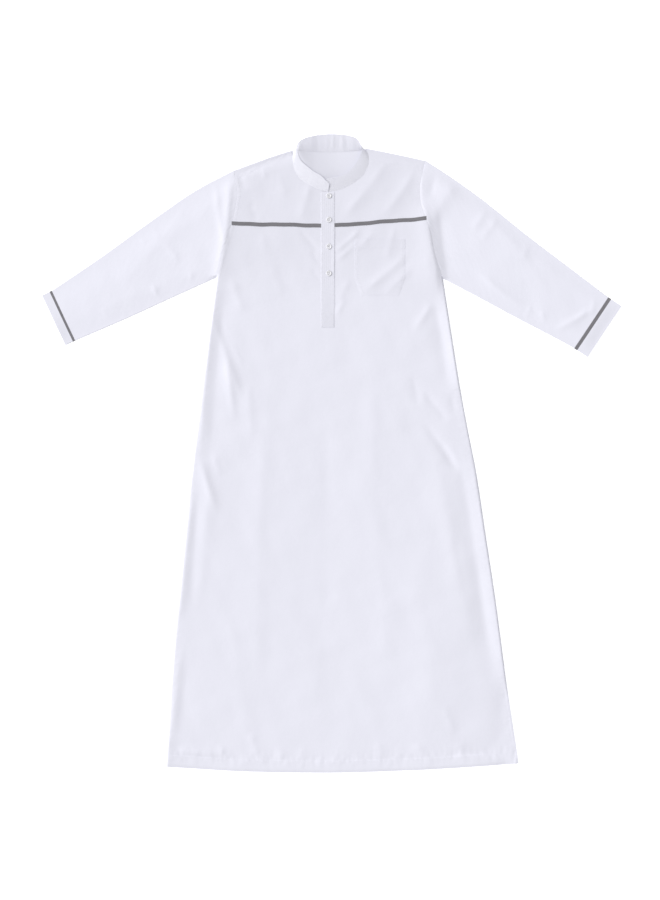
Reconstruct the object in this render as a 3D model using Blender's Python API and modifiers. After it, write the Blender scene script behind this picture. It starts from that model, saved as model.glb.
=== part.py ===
"""A long white robe laid flat on its back, its collar towards +Y and its front towards +Z.

Every plan place and size below is in millimetres, X to the right and Y towards the collar as one
looks down on the front. Left and right are the viewer's. The back layer lies on Z = 0, the front
layer lies on the back layer, and the trims lie on the front layer.
"""

from collections import namedtuple
from math import cos, pi, sin

import bmesh
import bpy
import numpy as np
from mathutils import Vector

MM = 0.001

# Cloth
WALL = 1.0
COLLAR_WALL = 1.5
SEAM_GAP = 0.3
ARMHOLE_GAP = 0.5
BACK_MIDDLE = WALL / 2
FRONT_REST = WALL + SEAM_GAP
LOFT = 1.0
MOST_UNDER = 4.8
EDGE_ROLL = 24.0
FOLD_RADIUS = 0.95
FOLD_EDGE_MIDDLE = BACK_MIDDLE + 2 * FOLD_RADIUS
FOLD_STEPS = 4
FOLD_TAPER = 0.35

# Heights of the body, up from the middle of its length
UNDERARM = 372.0
PLACKET_LOW = 266.5
SLOT_LOW = 302.0
POCKET_LOW = 334.0
POCKET_CORNER = 372.0
POCKET_TOP = 454.0
PLACKET_TOP = 552.0
HEM_BAND = 25.0
HEM_FOLD = 1.0
HEM_LEVEL = -676.0
HEM_CURVE_REACH = 240.0
UNDERARM_EASE = 40.0

# Widths of the trims
PLACKET_LEFT = -22.5
PLACKET_RIGHT = 6.8
SLOT_LEFT = -19.0
SLOT_RIGHT = 3.3
POCKET_LEFT = 49.0
POCKET_RIGHT = 156.5
POCKET_CUT = 13.5
TAPE = 8.0

# Buttons
BUTTON_RADIUS = 5.8
BUTTON_THICK = 2.4
BUTTON_X = -5.2
BUTTON_HEIGHTS = (546.0, 495.0, 438.5, 381.5)
HOLE_RADIUS = 0.8
HOLE_PLACE = 1.5

Side = namedtuple("Side", "y left right")
SIDES = (
    Side(-676, -353, 397),
    Side(-480, -340, 370),
    Side(-320, -326, 349),
    Side(-160, -310, 325),
    Side(-30, -296, 305),
    Side(50, -286, 289),
    Side(155, -274, 270),
    Side(262, -259, 253),
    Side(372, -244, 236),
)

HemPoint = namedtuple("HemPoint", "x y")
HEM = (HemPoint(-353, -664), HemPoint(-190, -674), HemPoint(-50, -677), HemPoint(190, -671), HemPoint(397, -658))

ArmholePoint = namedtuple("ArmholePoint", "y left right")
ARMHOLE = (
    ArmholePoint(372, -244, 236),
    ArmholePoint(425, -230, 219),
    ArmholePoint(468, -217, 211),
    ArmholePoint(500, -208, 200),
    ArmholePoint(525, -203.5, 191.5),
    ArmholePoint(555, -199.5, 188),
    ArmholePoint(580, -204, 190),
    ArmholePoint(600, -207.5, 195),
    ArmholePoint(620, -211, 200),
)
SHOULDER_TIP = {"left": (-207.5, 599.5), "right": (200, 620)}

# Where the tape lies on the chest: its lower edge at the armhole and at the placket
TapeLine = namedtuple("TapeLine", "at_armhole at_placket")
CHEST_TAPE = {"left": TapeLine(483, 479), "right": TapeLine(494, 479)}

# The yoke's fold over the shoulder and its seam on the front, from the neck to the armhole
YokePoint = namedtuple("YokePoint", "fold_x fold_y seam_x seam_y")
YOKE = {
    "left": (
        YokePoint(-84, 642.5, -83.5, 632),
        YokePoint(-128, 628.5, -128, 618.5),
        YokePoint(-168, 614, -172, 594.5),
        YokePoint(-207.5, 599.5, -204.5, 580),
    ),
    "right": (
        YokePoint(73.5, 646.5, 79.5, 617.5),
        YokePoint(115, 638.5, 112, 613),
        YokePoint(158, 629.5, 155, 610.5),
        YokePoint(200, 620, 197.5, 609),
    ),
}

# The collar's sewn edge and free edge, from its left front end round the back to its right front end
Stand = namedtuple("Stand", "seam_x seam_y seam_z edge_x edge_y edge_z")
COLLAR = (
    Stand(-7, 555, 7.4, -4, 571, 10.6),
    Stand(-20, 558, 7.2, -12, 578, 10.6),
    Stand(-33, 563.5, 6.6, -19, 585.5, 10.2),
    Stand(-54, 574.5, 5.4, -39, 598, 9.8),
    Stand(-68.5, 585.5, 5.0, -53.5, 609.5, 9.8),
    Stand(-77, 600, 4.8, -63, 618.5, 9.8),
    Stand(-81.5, 618, 4.6, -69.5, 631.5, 9.8),
    Stand(-82, 634, 4.4, -72, 644.5, 9.8),
    Stand(-76, 642, 3.2, -71.5, 656, 10),
    Stand(-61, 641.5, 2.3, -61, 665, 10.4),
    Stand(-41, 640.5, 2.2, -42, 671, 10.8),
    Stand(-14, 640, 2.2, -14.5, 675, 11),
    Stand(14, 640, 2.2, 14, 675, 11),
    Stand(39.5, 641, 2.2, 37, 672, 10.6),
    Stand(57.5, 643, 2.4, 53.5, 666, 9.8),
    Stand(68, 645.5, 3.4, 61.5, 654, 9),
    Stand(75, 638.5, 4.6, 64, 642.5, 8.8),
    Stand(78.5, 626, 4.7, 61, 633, 8.6),
    Stand(76.5, 610.5, 4.7, 55.5, 620.5, 8.5),
    Stand(68, 593, 4.7, 45.5, 607, 8.5),
    Stand(53, 578.5, 4.7, 33.5, 594, 8.5),
    Stand(33, 566.5, 4.7, 20, 588, 8.4),
    Stand(10, 558, 4.7, 5.5, 585, 8.2),
    Stand(-11, 556, 4.6, -9, 582.5, 8),
    Stand(-20, 556, 4.6, -18, 580, 7.8),
)
COLLAR_BULGE = 1.6
COLLAR_STEPS_UP = 5

# The sleeves' two long edges, from the armhole to the tape
SLEEVE_TOP = {
    "left": ((-208, 599.5), (-279, 562.5), (-385, 490.5), (-491, 414), (-558, 368.5), (-593, 345)),
    "right": ((200.5, 620), (246, 590.5), (315, 541.5), (410, 465.5), (516, 385), (587, 331)),
}
SLEEVE_BOTTOM = {
    "left": ((-244.5, 373), (-332, 333.5), (-438, 285), (-543.5, 239.5)),
    "right": ((236.5, 371), (315, 329.5), (410, 278.5), (463, 251), (515, 223)),
}
CUFF_TAPE = {"left": 5.0, "right": 7.2}
CUFF = {"left": 18.0, "right": 26.5}

# Folds pressed into the front layer: ridges are higher than 0 and troughs are lower
Fold = namedtuple("Fold", "x1 y1 x2 y2 width height")
FOLDS = (
    # Down the left side
    Fold(-262, 290, -226, 120, 15, 1.3),
    Fold(-240, 290, -188, 130, 16, -1.3),
    Fold(-183, 140, -174, 30, 14, 1.0),
    Fold(-285, 10, -262, -150, 14, 1.5),
    Fold(-255, 0, -226, -130, 15, -1.2),
    Fold(-305, -60, -330, -480, 15, 1.4),
    Fold(-280, -60, -300, -420, 16, -1.1),
    # Down the right side
    Fold(178, 160, 240, 80, 14, 1.2),
    Fold(196, 80, 268, -45, 15, 1.3),
    Fold(195, 20, 252, -130, 22, -1.3),
    Fold(240, 330, 262, 190, 14, 1.3),
    Fold(222, 330, 180, 240, 16, -1.2),
    Fold(262, -40, 360, -440, 18, 1.6),
    Fold(238, -60, 318, -430, 20, -1.2),
    # Across the chest
    Fold(112, 592, 18, 508, 15, -1.0),
    Fold(160, 588, 60, 500, 16, 0.8),
    Fold(78, 480, 12, 430, 15, -0.9),
    Fold(166, 440, 66, 342, 17, -0.9),
    Fold(-100, 590, -60, 500, 22, 0.7),
    # Long soft rolls of the skirt
    Fold(-120, 220, -150, -560, 44, 0.9),
    Fold(-20, 200, -30, -600, 46, -0.7),
    Fold(90, 240, 140, -560, 48, 0.8),
    Fold(200, -140, 250, -600, 40, -0.6),
    # On the sleeves
    Fold(-240, 575, -236, 450, 14, 1.3),
    Fold(-300, 540, -420, 330, 22, 0.8),
    Fold(-350, 440, -520, 330, 24, -0.8),
    Fold(262, 560, 232, 400, 14, -1.2),
    Fold(300, 540, 290, 380, 22, 1.1),
    Fold(330, 500, 480, 290, 24, 0.9),
    Fold(430, 400, 540, 300, 20, -0.8),
)

# Columns of the front panel level with the slot's foot, out from the slot to just inside the side
COLUMNS = {
    "left": (SLOT_LEFT, PLACKET_LEFT, -46, -70, -94, -118, -142, -165, -187, -207, -224, -239),
    "right": (SLOT_RIGHT, PLACKET_RIGHT, 28, POCKET_LEFT, POCKET_LEFT + POCKET_CUT, 84, 103, 122,
              POCKET_RIGHT - POCKET_CUT, POCKET_RIGHT, 178, 200, 219, 234),
}
FIXED_COLUMNS = {"left": 7, "right": 10}
NECK_COLUMNS = {"left": 7, "right": 6}
SKIRT_ROWS = 26
BACK_ROWS = 18
SLEEVE_RINGS = 20
BACK_YOKE_KNOT = 10
CHEST_ROWS = (SLOT_LOW, 318, POCKET_LOW, 353, POCKET_CORNER, 392, 413, 434, POCKET_TOP, 467)
ROWS_ABOVE_TAPE = 5


def smooth_value(knots, values, at):
    """A smooth curve through values at rising knots, read at one place."""
    knots = np.array(knots, float)
    values = np.array(values, float)
    slopes = np.gradient(values, knots)
    at = min(max(at, knots[0]), knots[-1])
    i = int(np.clip(np.searchsorted(knots, at) - 1, 0, len(knots) - 2))
    span = knots[i + 1] - knots[i]
    f = (at - knots[i]) / span
    start = (1 + 2 * f) * (1 - f) ** 2 * values[i] + f * (1 - f) ** 2 * span * slopes[i]
    end = f * f * (3 - 2 * f) * values[i + 1] + f * f * (f - 1) * span * slopes[i + 1]
    return float(start + end)


def smooth_path(points, count):
    """Evenly spaced places on a smooth curve through points of any dimension."""
    points = np.array(points, float)
    walked = np.concatenate([[0], np.cumsum(np.linalg.norm(np.diff(points, axis=0), axis=1))])
    axes = range(points.shape[1])
    at = np.linspace(0, walked[-1], count)
    return [tuple(smooth_value(walked, points[:, a], w) for a in axes) for w in at]


def soft(f):
    """0 at f = 0 and 1 at f = 1, level at both."""
    f = min(max(f, 0.0), 1.0)
    return f * f * (3 - 2 * f)


def side_x(side, y):
    """Where the body's side seam is at height y."""
    return smooth_value([s.y for s in SIDES], [getattr(s, side) for s in SIDES], y)


def armhole_x(side, y):
    """Where the armhole seam is at height y."""
    return smooth_value([a.y for a in ARMHOLE], [getattr(a, side) for a in ARMHOLE], y)


def edge_x(side, y):
    """The front panel's outer edge: side seam up to the underarm, armhole above it."""
    return side_x(side, y) if y < UNDERARM else armhole_x(side, y)


def hem_y(x):
    return smooth_value([h.x for h in HEM], [h.y for h in HEM], x)


def folds_at(x, y):
    """The sum of all folds at one place of the front layer."""
    total = 0.0
    for fold in FOLDS:
        run = np.array((fold.x2 - fold.x1, fold.y2 - fold.y1), float)
        length = np.linalg.norm(run)
        off = np.array((x - fold.x1, y - fold.y1))
        along = off @ run / length ** 2
        across = (off[0] * run[1] - off[1] * run[0]) / length
        ends = soft(along / FOLD_TAPER) * soft((1 - along) / FOLD_TAPER)
        total += fold.height * ends * np.exp(-(across / fold.width) ** 2)
    return float(total)


def body_under(x, y):
    """Height of the front panel's underside. It comes down to the back panel at the side seams."""
    from_side = min(x - side_x("left", y), side_x("right", y) - x)
    below_arm = soft((UNDERARM - y) / UNDERARM_EASE)
    share = 1 - (1 - soft(from_side / EDGE_ROLL)) * below_arm
    return min(max(FRONT_REST + share * (LOFT + folds_at(x, y)), FRONT_REST), MOST_UNDER)


def body_top(x, y):
    return body_under(x, y) + WALL


def over_body(x, y):
    """Where the underside of a trim on the front panel lies."""
    return body_top(x, y) + SEAM_GAP


def material(name, colour, roughness):
    made = bpy.data.materials.new(name)
    made.use_nodes = True
    shader = made.node_tree.nodes["Principled BSDF"]
    shader.inputs["Base Color"].default_value = (*colour, 1)
    shader.inputs["Roughness"].default_value = roughness
    shader.inputs["Metallic"].default_value = 0
    return made


def add_object(name, mesh, colour, roughness):
    made = bpy.data.objects.new(name, mesh)
    bpy.data.collections["Thobe robe"].objects.link(made)
    mesh.materials.append(material(name, colour, roughness))
    return made


def grid_faces(bm, rows, closed=False):
    """Quads between rows of equal length. A closed row joins its last point to its first."""
    verts = [[bm.verts.new(Vector(p) * MM) for p in row] for row in rows]
    for low, high in zip(verts, verts[1:]):
        count = len(low)
        for i in range(count if closed else count - 1):
            k = (i + 1) % count
            corners = (low[i], low[k], high[k], high[i])
            bm.faces.new(corners)


def lay_panel(name, grids, under, thickness, colour, roughness=0.85):
    """A panel from plan grids: its underside follows under(x, y), its wall stands straight up."""
    bm = bmesh.new()
    for grid in grids:
        grid_faces(bm, [[(x, y, under(x, y)) for x, y in row] for row in grid])
    bmesh.ops.remove_doubles(bm, verts=bm.verts, dist=0.05 * MM)
    bmesh.ops.dissolve_degenerate(bm, edges=bm.edges, dist=0.01 * MM)
    bmesh.ops.recalc_face_normals(bm, faces=bm.faces)
    bmesh.ops.triangulate(bm, faces=bm.faces, quad_method="FIXED")
    raised = bmesh.ops.extrude_face_region(bm, geom=bm.faces[:])["geom"]
    for vert in (g for g in raised if isinstance(g, bmesh.types.BMVert)):
        vert.co.z += thickness(vert.co.x / MM, vert.co.y / MM) * MM
    bmesh.ops.recalc_face_normals(bm, faces=bm.faces)
    mesh = bpy.data.meshes.new(name)
    bm.to_mesh(mesh)
    bm.free()
    return add_object(name, mesh, colour, roughness)


def bend_sheet(name, grids, wall, colour, closed=False, roughness=0.85):
    """A bent piece: an open surface through the middle of the cloth, thickened on both sides."""
    bm = bmesh.new()
    for grid in grids:
        grid_faces(bm, grid, closed)
    bmesh.ops.remove_doubles(bm, verts=bm.verts, dist=0.05 * MM)
    bmesh.ops.recalc_face_normals(bm, faces=bm.faces)
    mesh = bpy.data.meshes.new(name)
    bm.to_mesh(mesh)
    bm.free()
    made = add_object(name, mesh, colour, roughness)
    thick = made.modifiers.new("Wall", "SOLIDIFY")
    thick.thickness = wall * MM
    thick.offset = 0
    return made


def panel_columns(side):
    """The front panel's columns level with the slot's foot, out to the side seam."""
    return COLUMNS[side] + (side_x(side, SLOT_LOW),)


def skirt_grid(side):
    """The front panel from the hem up to the slot, one half."""
    columns = panel_columns(side)
    slot = columns[0]
    outer = columns[-1]
    heights = [HEM_LEVEL, HEM_LEVEL + HEM_BAND - 1, HEM_LEVEL + HEM_BAND]
    heights += list(np.linspace(HEM_LEVEL + HEM_BAND, SLOT_LOW, SKIRT_ROWS)[1:])
    rows = []
    for y in heights:
        reach = (side_x(side, y) - slot) / (outer - slot)
        curve = 1 - soft((y - HEM_LEVEL) / HEM_CURVE_REACH)
        row = []
        for column in columns:
            x = slot + (column - slot) * reach
            row.append((x, y + (hem_y(x) - HEM_LEVEL) * curve))
        rows.append(row)
    return rows


def chest_point(side, column, at_slot, at_edge):
    """A place on the chest, where a row runs straight from the slot to the outer edge."""
    columns = panel_columns(side)
    edge = edge_x(side, at_edge)
    last_fixed = columns[FIXED_COLUMNS[side] - 1]
    x = columns[column]
    if column >= FIXED_COLUMNS[side]:
        x = last_fixed + (x - last_fixed) * (edge - last_fixed) / (columns[-1] - last_fixed)
    return x, at_slot + (at_edge - at_slot) * (x - columns[0]) / (edge - columns[0])


def chest_grid(side):
    """The front panel from the slot's foot to the tape's lower edge and on to its upper edge."""
    line = CHEST_TAPE[side]
    count = len(COLUMNS[side]) + 1
    ends = [(y, y) for y in CHEST_ROWS[:-1]]
    ends.append((CHEST_ROWS[-1], (POCKET_TOP + line.at_armhole) / 2))
    ends.append((line.at_placket, line.at_armhole))
    ends.append((line.at_placket + TAPE, line.at_armhole + TAPE))
    return [[chest_point(side, c, at_slot, at_edge) for c in range(count)] for at_slot, at_edge in ends]


def neck_seam(side):
    """The neckline of one front half, from the slot to the yoke seam."""
    stands = COLLAR[2:7] if side == "left" else COLLAR[22:17:-1]
    slot = COLUMNS[side][0]
    inner = YOKE[side][0]
    start = (slot, stands[0].seam_y - 3)
    return [start] + [(s.seam_x, s.seam_y) for s in stands] + [(inner.seam_x, inner.seam_y)]


def shoulder_grid(side):
    """The front panel above the tape, up to the neckline and the yoke seam."""
    low = chest_grid(side)[-1]
    neck_count = NECK_COLUMNS[side]
    seam = [(p.seam_x, p.seam_y - SEAM_GAP) for p in YOKE[side]]
    top = smooth_path(neck_seam(side), neck_count + 1)[:-1]
    top += smooth_path(seam, len(low) - neck_count)
    last = len(low) - 1
    rows = []
    for step in range(ROWS_ABOVE_TAPE + 1):
        v = step / ROWS_ABOVE_TAPE
        edge_y = low[-1][1] + (top[-1][1] - low[-1][1]) * v
        straight = low[-1][0] + (top[-1][0] - low[-1][0]) * v
        bow = armhole_x(side, edge_y) - straight
        row = []
        for i, (a, b) in enumerate(zip(low, top)):
            x = a[0] + (b[0] - a[0]) * v + bow * (i / last) ** 3
            row.append((x, a[1] + (b[1] - a[1]) * v))
        rows.append(row)
    return rows


def centre_grid():
    """The strip of front panel under the slot, between its two halves."""
    left = skirt_grid("left")
    right = skirt_grid("right")
    middle = (SLOT_LEFT + SLOT_RIGHT) / 2
    return [[a[0], (middle, (a[0][1] + b[0][1]) / 2), b[0]] for a, b in zip(left, right)]


def make_front(colour):
    grids = [centre_grid()]
    for side in ("left", "right"):
        grids += [skirt_grid(side), chest_grid(side), shoulder_grid(side)]

    def thickness(x, y):
        return WALL + (HEM_FOLD if y < hem_y(x) + HEM_BAND - 0.5 else 0)

    return lay_panel("front_body", grids, body_under, thickness, colour)


def armhole(side):
    """The armhole from the underarm to the shoulder tip, at the front panel's own edge points."""
    rows = chest_grid(side) + shoulder_grid(side)[1:]
    return [row[-1] for row in rows if row[-1][1] >= UNDERARM] + [SHOULDER_TIP[side]]


def straight_row(start, end, columns):
    start = Vector(start)
    end = Vector(end)
    return [tuple(start.lerp(end, c / columns)) for c in range(columns + 1)]


def make_back(colour):
    columns = 6
    rows = []
    for y in np.linspace(HEM_LEVEL, UNDERARM, BACK_ROWS)[:-1]:
        curve = 1 - soft((y - HEM_LEVEL) / HEM_CURVE_REACH)
        row = straight_row((side_x("left", y), y), (side_x("right", y), y), columns)
        rows.append([(x, y + (hem_y(x) - HEM_LEVEL) * curve) for x, y in row])
    edges = list(zip(armhole("left"), armhole("right")))[:BACK_YOKE_KNOT + 1]
    rows += [straight_row(left, right, columns) for left, right in edges]
    rows[-1] = [(x, y - SEAM_GAP) for x, y in rows[-1]]
    return lay_panel("back_body", [rows], lambda x, y: 0.0, lambda x, y: WALL, colour)


def make_yoke(colour):
    """The back yoke on the table, with a flap that folds forward over each shoulder."""
    per_flap = 6
    across_neck = 10
    paths = {side: smooth_path(YOKE[side], per_flap + 1) for side in ("left", "right")}
    neck = smooth_path([(s.seam_x, s.seam_y) for s in COLLAR[8:16]], across_neck + 1)
    folds = [p[:2] for p in reversed(paths["left"])] + neck + [p[:2] for p in paths["right"]]
    edges = list(zip(armhole("left"), armhole("right")))[BACK_YOKE_KNOT:]
    bottom = straight_row(*edges[0], len(folds) - 1)
    rows = len(edges) - 1
    back = []
    for step, (left, right) in enumerate(edges):
        v = step / rows
        row = []
        for i, (low, fold) in enumerate(zip(bottom, folds)):
            in_neck = per_flap < i < len(folds) - per_flap - 1
            top_y = fold[1] if in_neck else fold[1] - FOLD_RADIUS
            row.append((low[0] + (fold[0] - low[0]) * v, low[1] + (top_y - low[1]) * v, BACK_MIDDLE))
        if step < rows:
            row[0] = (*left, BACK_MIDDLE)
            row[-1] = (*right, BACK_MIDDLE)
        back.append(row)
    grids = [back]
    for side, path in paths.items():
        flap = []
        for angle in np.linspace(-pi / 2, pi / 2, FOLD_STEPS + 1):
            out = FOLD_RADIUS * cos(angle) - FOLD_RADIUS
            up = BACK_MIDDLE + FOLD_RADIUS + FOLD_RADIUS * sin(angle)
            flap.append([(p[0], p[1] + out, up) for p in path])
        for v in (0.35, 0.7, 1.0):
            row = []
            for fold_x, fold_y, seam_x, seam_y in path:
                x = fold_x + (seam_x - fold_x) * v
                y = fold_y - FOLD_RADIUS + (seam_y + SEAM_GAP - fold_y + FOLD_RADIUS) * v
                lifted = body_under(x, y) + WALL / 2
                row.append((x, y, FOLD_EDGE_MIDDLE + (lifted - FOLD_EDGE_MIDDLE) * soft(v)))
            flap.append(row)
        grids.append(flap)
    return bend_sheet("yoke", grids, WALL, colour)


def ring(row, mouth=0.0):
    """One flattened loop through the middle of the cloth, over a row of plan places."""
    low = Vector(row[0])
    high = Vector(row[-1])
    across = (high - low).normalized() * FOLD_RADIUS
    places = [low + across] + [Vector(p) for p in row[1:-1]] + [high - across]
    loop = [(p.x, p.y, BACK_MIDDLE) for p in places]
    angles = np.linspace(-pi / 2, pi / 2, FOLD_STEPS + 1)[1:-1]
    for angle in angles:
        p = high - across * (1 - cos(angle))
        loop.append((p.x, p.y, BACK_MIDDLE + FOLD_RADIUS * (1 + sin(angle))))
    for p in reversed(places):
        from_edge = min((p - places[0]).length, (p - places[-1]).length)
        rise = soft(from_edge / EDGE_ROLL) * (LOFT + mouth + folds_at(p.x, p.y))
        middle = min(max(FOLD_EDGE_MIDDLE + rise, FRONT_REST + WALL / 2), MOST_UNDER + WALL / 2)
        loop.append((p.x, p.y, middle))
    for angle in reversed(angles):
        p = low + across * (1 - cos(angle))
        loop.append((p.x, p.y, BACK_MIDDLE + FOLD_RADIUS * (1 + sin(angle))))
    return loop


def make_sleeve(side, colour, tape_colour):
    """A sleeve, the tape round its end and the cuff past the tape, as three flattened tubes."""
    tops = [Vector(p) for p in smooth_path(SLEEVE_TOP[side], SLEEVE_RINGS + 1)]
    bottoms = [Vector(p) for p in smooth_path(SLEEVE_BOTTOM[side], SLEEVE_RINGS + 1)]
    clear = Vector((ARMHOLE_GAP if side == "right" else -ARMHOLE_GAP, 0))
    first = [Vector(p) + clear for p in armhole(side)]
    first[0] += Vector((0, ARMHOLE_GAP))
    shares = [(p - first[0]).dot(first[-1] - first[0]) / (first[-1] - first[0]).length_squared for p in first]
    bows = [p - first[0].lerp(first[-1], t) for p, t in zip(first, shares)]
    loops = []
    for step, (low, high) in enumerate(zip(bottoms, tops)):
        near = (1 - step / SLEEVE_RINGS) ** 4
        if step == 0:
            low, high = first[0], first[-1]
        loops.append(ring([low.lerp(high, t) + bow * near for t, bow in zip(shares, bows)]))
    bend_sheet(f"sleeve_{side}", [loops], WALL, colour, closed=True)

    low = bottoms[-1]
    high = tops[-1]
    across = (high - low).normalized()
    outward = Vector((across.y, -across.x)) * (1 if side == "right" else -1)

    def band(name, start, end, steps, shade, mouth):
        places = np.linspace(start, end, steps + 1)
        loops = []
        for place in places:
            row = [low.lerp(high, t) + outward * place for t in shares]
            loops.append(ring(row, mouth * (place - start) / (end - start)))
        bend_sheet(name, [loops], WALL, shade, closed=True)

    tape_start = SEAM_GAP
    tape_end = tape_start + CUFF_TAPE[side]
    cuff_start = tape_end + SEAM_GAP
    band(f"cuff_tape_{side}", tape_start, tape_end, 1, tape_colour, 0.0)
    band(f"cuff_{side}", cuff_start, cuff_start + CUFF[side], 3, colour, 0.9)


def make_collar(colour):
    """The band collar: it stands on the neckline, leans back behind and laps left over right."""
    columns = 2 * (len(COLLAR) - 1) + 1
    rows = []
    for seam_x, seam_y, seam_z, edge_x_, edge_y, edge_z in smooth_path(COLLAR, columns):
        seam = Vector((seam_x, seam_y, seam_z))
        edge = Vector((edge_x_, edge_y, edge_z))
        lean = Vector((seam_x - edge_x_, seam_y - edge_y, 0))
        bulge = Vector((lean.x, lean.y, (edge - seam).z * 0.7)).normalized() * COLLAR_BULGE
        steps = np.linspace(0, 1, COLLAR_STEPS_UP + 1)
        rows.append([seam.lerp(edge, v) + bulge * sin(pi * v) for v in steps])
    return bend_sheet("collar", [rows], COLLAR_WALL, colour, roughness=0.8)


def slot_rows():
    """Heights of the rows at the slot, from its foot to the neck."""
    chest = [row[0][1] for row in chest_grid("left")]
    shoulder = [row[0][1] for row in shoulder_grid("left")][1:]
    return [y for y in chest + shoulder if y < PLACKET_TOP - 8] + [PLACKET_TOP]


def make_placket(colour):
    """The two strips of the front opening: the under strip fills the slot, the top strip covers it."""
    inner = [SLOT_LEFT + SEAM_GAP, (SLOT_LEFT + SLOT_RIGHT) / 2, SLOT_RIGHT - SEAM_GAP]
    heights = [SLOT_LOW + SEAM_GAP] + slot_rows()[1:]
    under = [[(x, y) for x in inner] for y in heights]
    lay_panel("placket_under", [under], body_under, lambda x, y: WALL, colour)

    outer = [PLACKET_LEFT, SLOT_LEFT, (SLOT_LEFT + SLOT_RIGHT) / 2, SLOT_RIGHT, PLACKET_RIGHT]
    top = [[(x, y) for x in outer] for y in [PLACKET_LOW] + slot_rows()]
    lay_panel("placket_top", [top], over_body, lambda x, y: WALL, colour)


def make_chest_tape(side, colour):
    """Tape on the front panel, made from the panel's own row of points and moved out."""
    low, high = chest_grid(side)[-2:]
    clear = SEAM_GAP * (1 if side == "right" else -1)
    rows = []
    for line in (low, high):
        row = list(line[1:])
        row[0] = (row[0][0] + clear, row[0][1])
        row[-1] = (row[-1][0] - clear, row[-1][1])
        rows.append(row)
    return lay_panel(f"chest_tape_{side}", [rows], over_body, lambda x, y: WALL, colour)


def make_pocket(colour):
    """The chest pocket, with its two lower corners cut steeply."""
    heights = [y for y in CHEST_ROWS if POCKET_LOW <= y <= POCKET_TOP]
    columns = [x for x in COLUMNS["right"] if POCKET_LEFT <= x <= POCKET_RIGHT]
    rows = []
    for y in heights:
        cut = POCKET_CUT * max(0, (POCKET_CORNER - y) / (POCKET_CORNER - POCKET_LOW))
        row = [(min(max(x, POCKET_LEFT + cut), POCKET_RIGHT - cut), y) for x in columns]
        rows.append(row)
    return lay_panel("chest_pocket", [rows], over_body, lambda x, y: WALL, colour)


def make_button(number, y, colour):
    """A round four-hole button with a raised rim, turned from its profile."""
    seat = over_body(BUTTON_X, y) + WALL + SEAM_GAP
    profile = (
        (0, BUTTON_THICK * 0.62), (0.6, BUTTON_THICK * 0.62), (0.72, BUTTON_THICK), (0.9, BUTTON_THICK),
        (1.0, BUTTON_THICK * 0.7), (0.97, BUTTON_THICK * 0.3), (0.8, 0), (0, 0),
    )
    mesh = bpy.data.meshes.new(f"button_{number}")
    bm = bmesh.new()
    verts = [bm.verts.new(Vector((r * BUTTON_RADIUS, 0, z)) * MM) for r, z in profile]
    for a, b in zip(verts, verts[1:]):
        bm.edges.new((a, b))
    bmesh.ops.spin(bm, geom=bm.verts[:] + bm.edges[:], cent=(0, 0, 0), axis=(0, 0, 1), angle=2 * pi,
                   steps=20, use_duplicate=False)
    bmesh.ops.remove_doubles(bm, verts=bm.verts, dist=0.01 * MM)
    bmesh.ops.recalc_face_normals(bm, faces=bm.faces)
    bm.to_mesh(mesh)
    bm.free()
    made = add_object(f"button_{number}", mesh, colour, 0.3)
    made.location = Vector((BUTTON_X, y, seat)) * MM
    for i, (dx, dy) in enumerate(((1, 1), (-1, 1), (-1, -1), (1, -1))):
        drill = cutter(f"drill_{number}_{i}", HOLE_RADIUS, 3 * BUTTON_THICK)
        drill.location = made.location + Vector((dx * HOLE_PLACE, dy * HOLE_PLACE, 0)) * MM
        hole = made.modifiers.new(f"Hole {i + 1}", "BOOLEAN")
        hole.operation = "DIFFERENCE"
        hole.solver = "EXACT"
        hole.object = drill
    return made


def cutter(name, radius, length):
    mesh = bpy.data.meshes.new(name)
    bm = bmesh.new()
    bmesh.ops.create_cone(bm, cap_ends=True, segments=8, radius1=radius * MM, radius2=radius * MM,
                          depth=length * MM)
    bm.to_mesh(mesh)
    bm.free()
    made = bpy.data.objects.new(name, mesh)
    made.hide_render = True
    made.display_type = "WIRE"
    bpy.data.collections["Cutters"].objects.link(made)
    return made


def clear_scene():
    for existing in list(bpy.data.objects):
        bpy.data.objects.remove(existing, do_unlink=True)
    for name in ("Thobe robe", "Cutters"):
        collection = bpy.data.collections.new(name)
        bpy.context.scene.collection.children.link(collection)


clear_scene()
WHITE = (0.83, 0.83, 0.88)
GREY = (0.17, 0.16, 0.18)
PEARL = (0.75, 0.74, 0.72)
make_back(WHITE)
make_front(WHITE)
make_yoke(WHITE)
for each_side in ("left", "right"):
    make_sleeve(each_side, WHITE, GREY)
    make_chest_tape(each_side, GREY)
make_collar(WHITE)
make_placket(WHITE)
make_pocket(WHITE)
for each_number, each_height in enumerate(BUTTON_HEIGHTS, start=1):
    make_button(each_number, each_height, PEARL)
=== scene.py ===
"""A long white robe laid flat on its back: cloth, grey tape, thread and pearl buttons.

Plan places and sizes are in millimetres, X to the right and Y towards the collar as one looks down
on the front. Left and right are the viewer's. Z is the height above the surface the robe lies on.
"""

from collections import namedtuple
from math import cos, pi, radians, sin

import bmesh
import bpy
import numpy as np
from mathutils import Euler, Matrix, Vector


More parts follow.
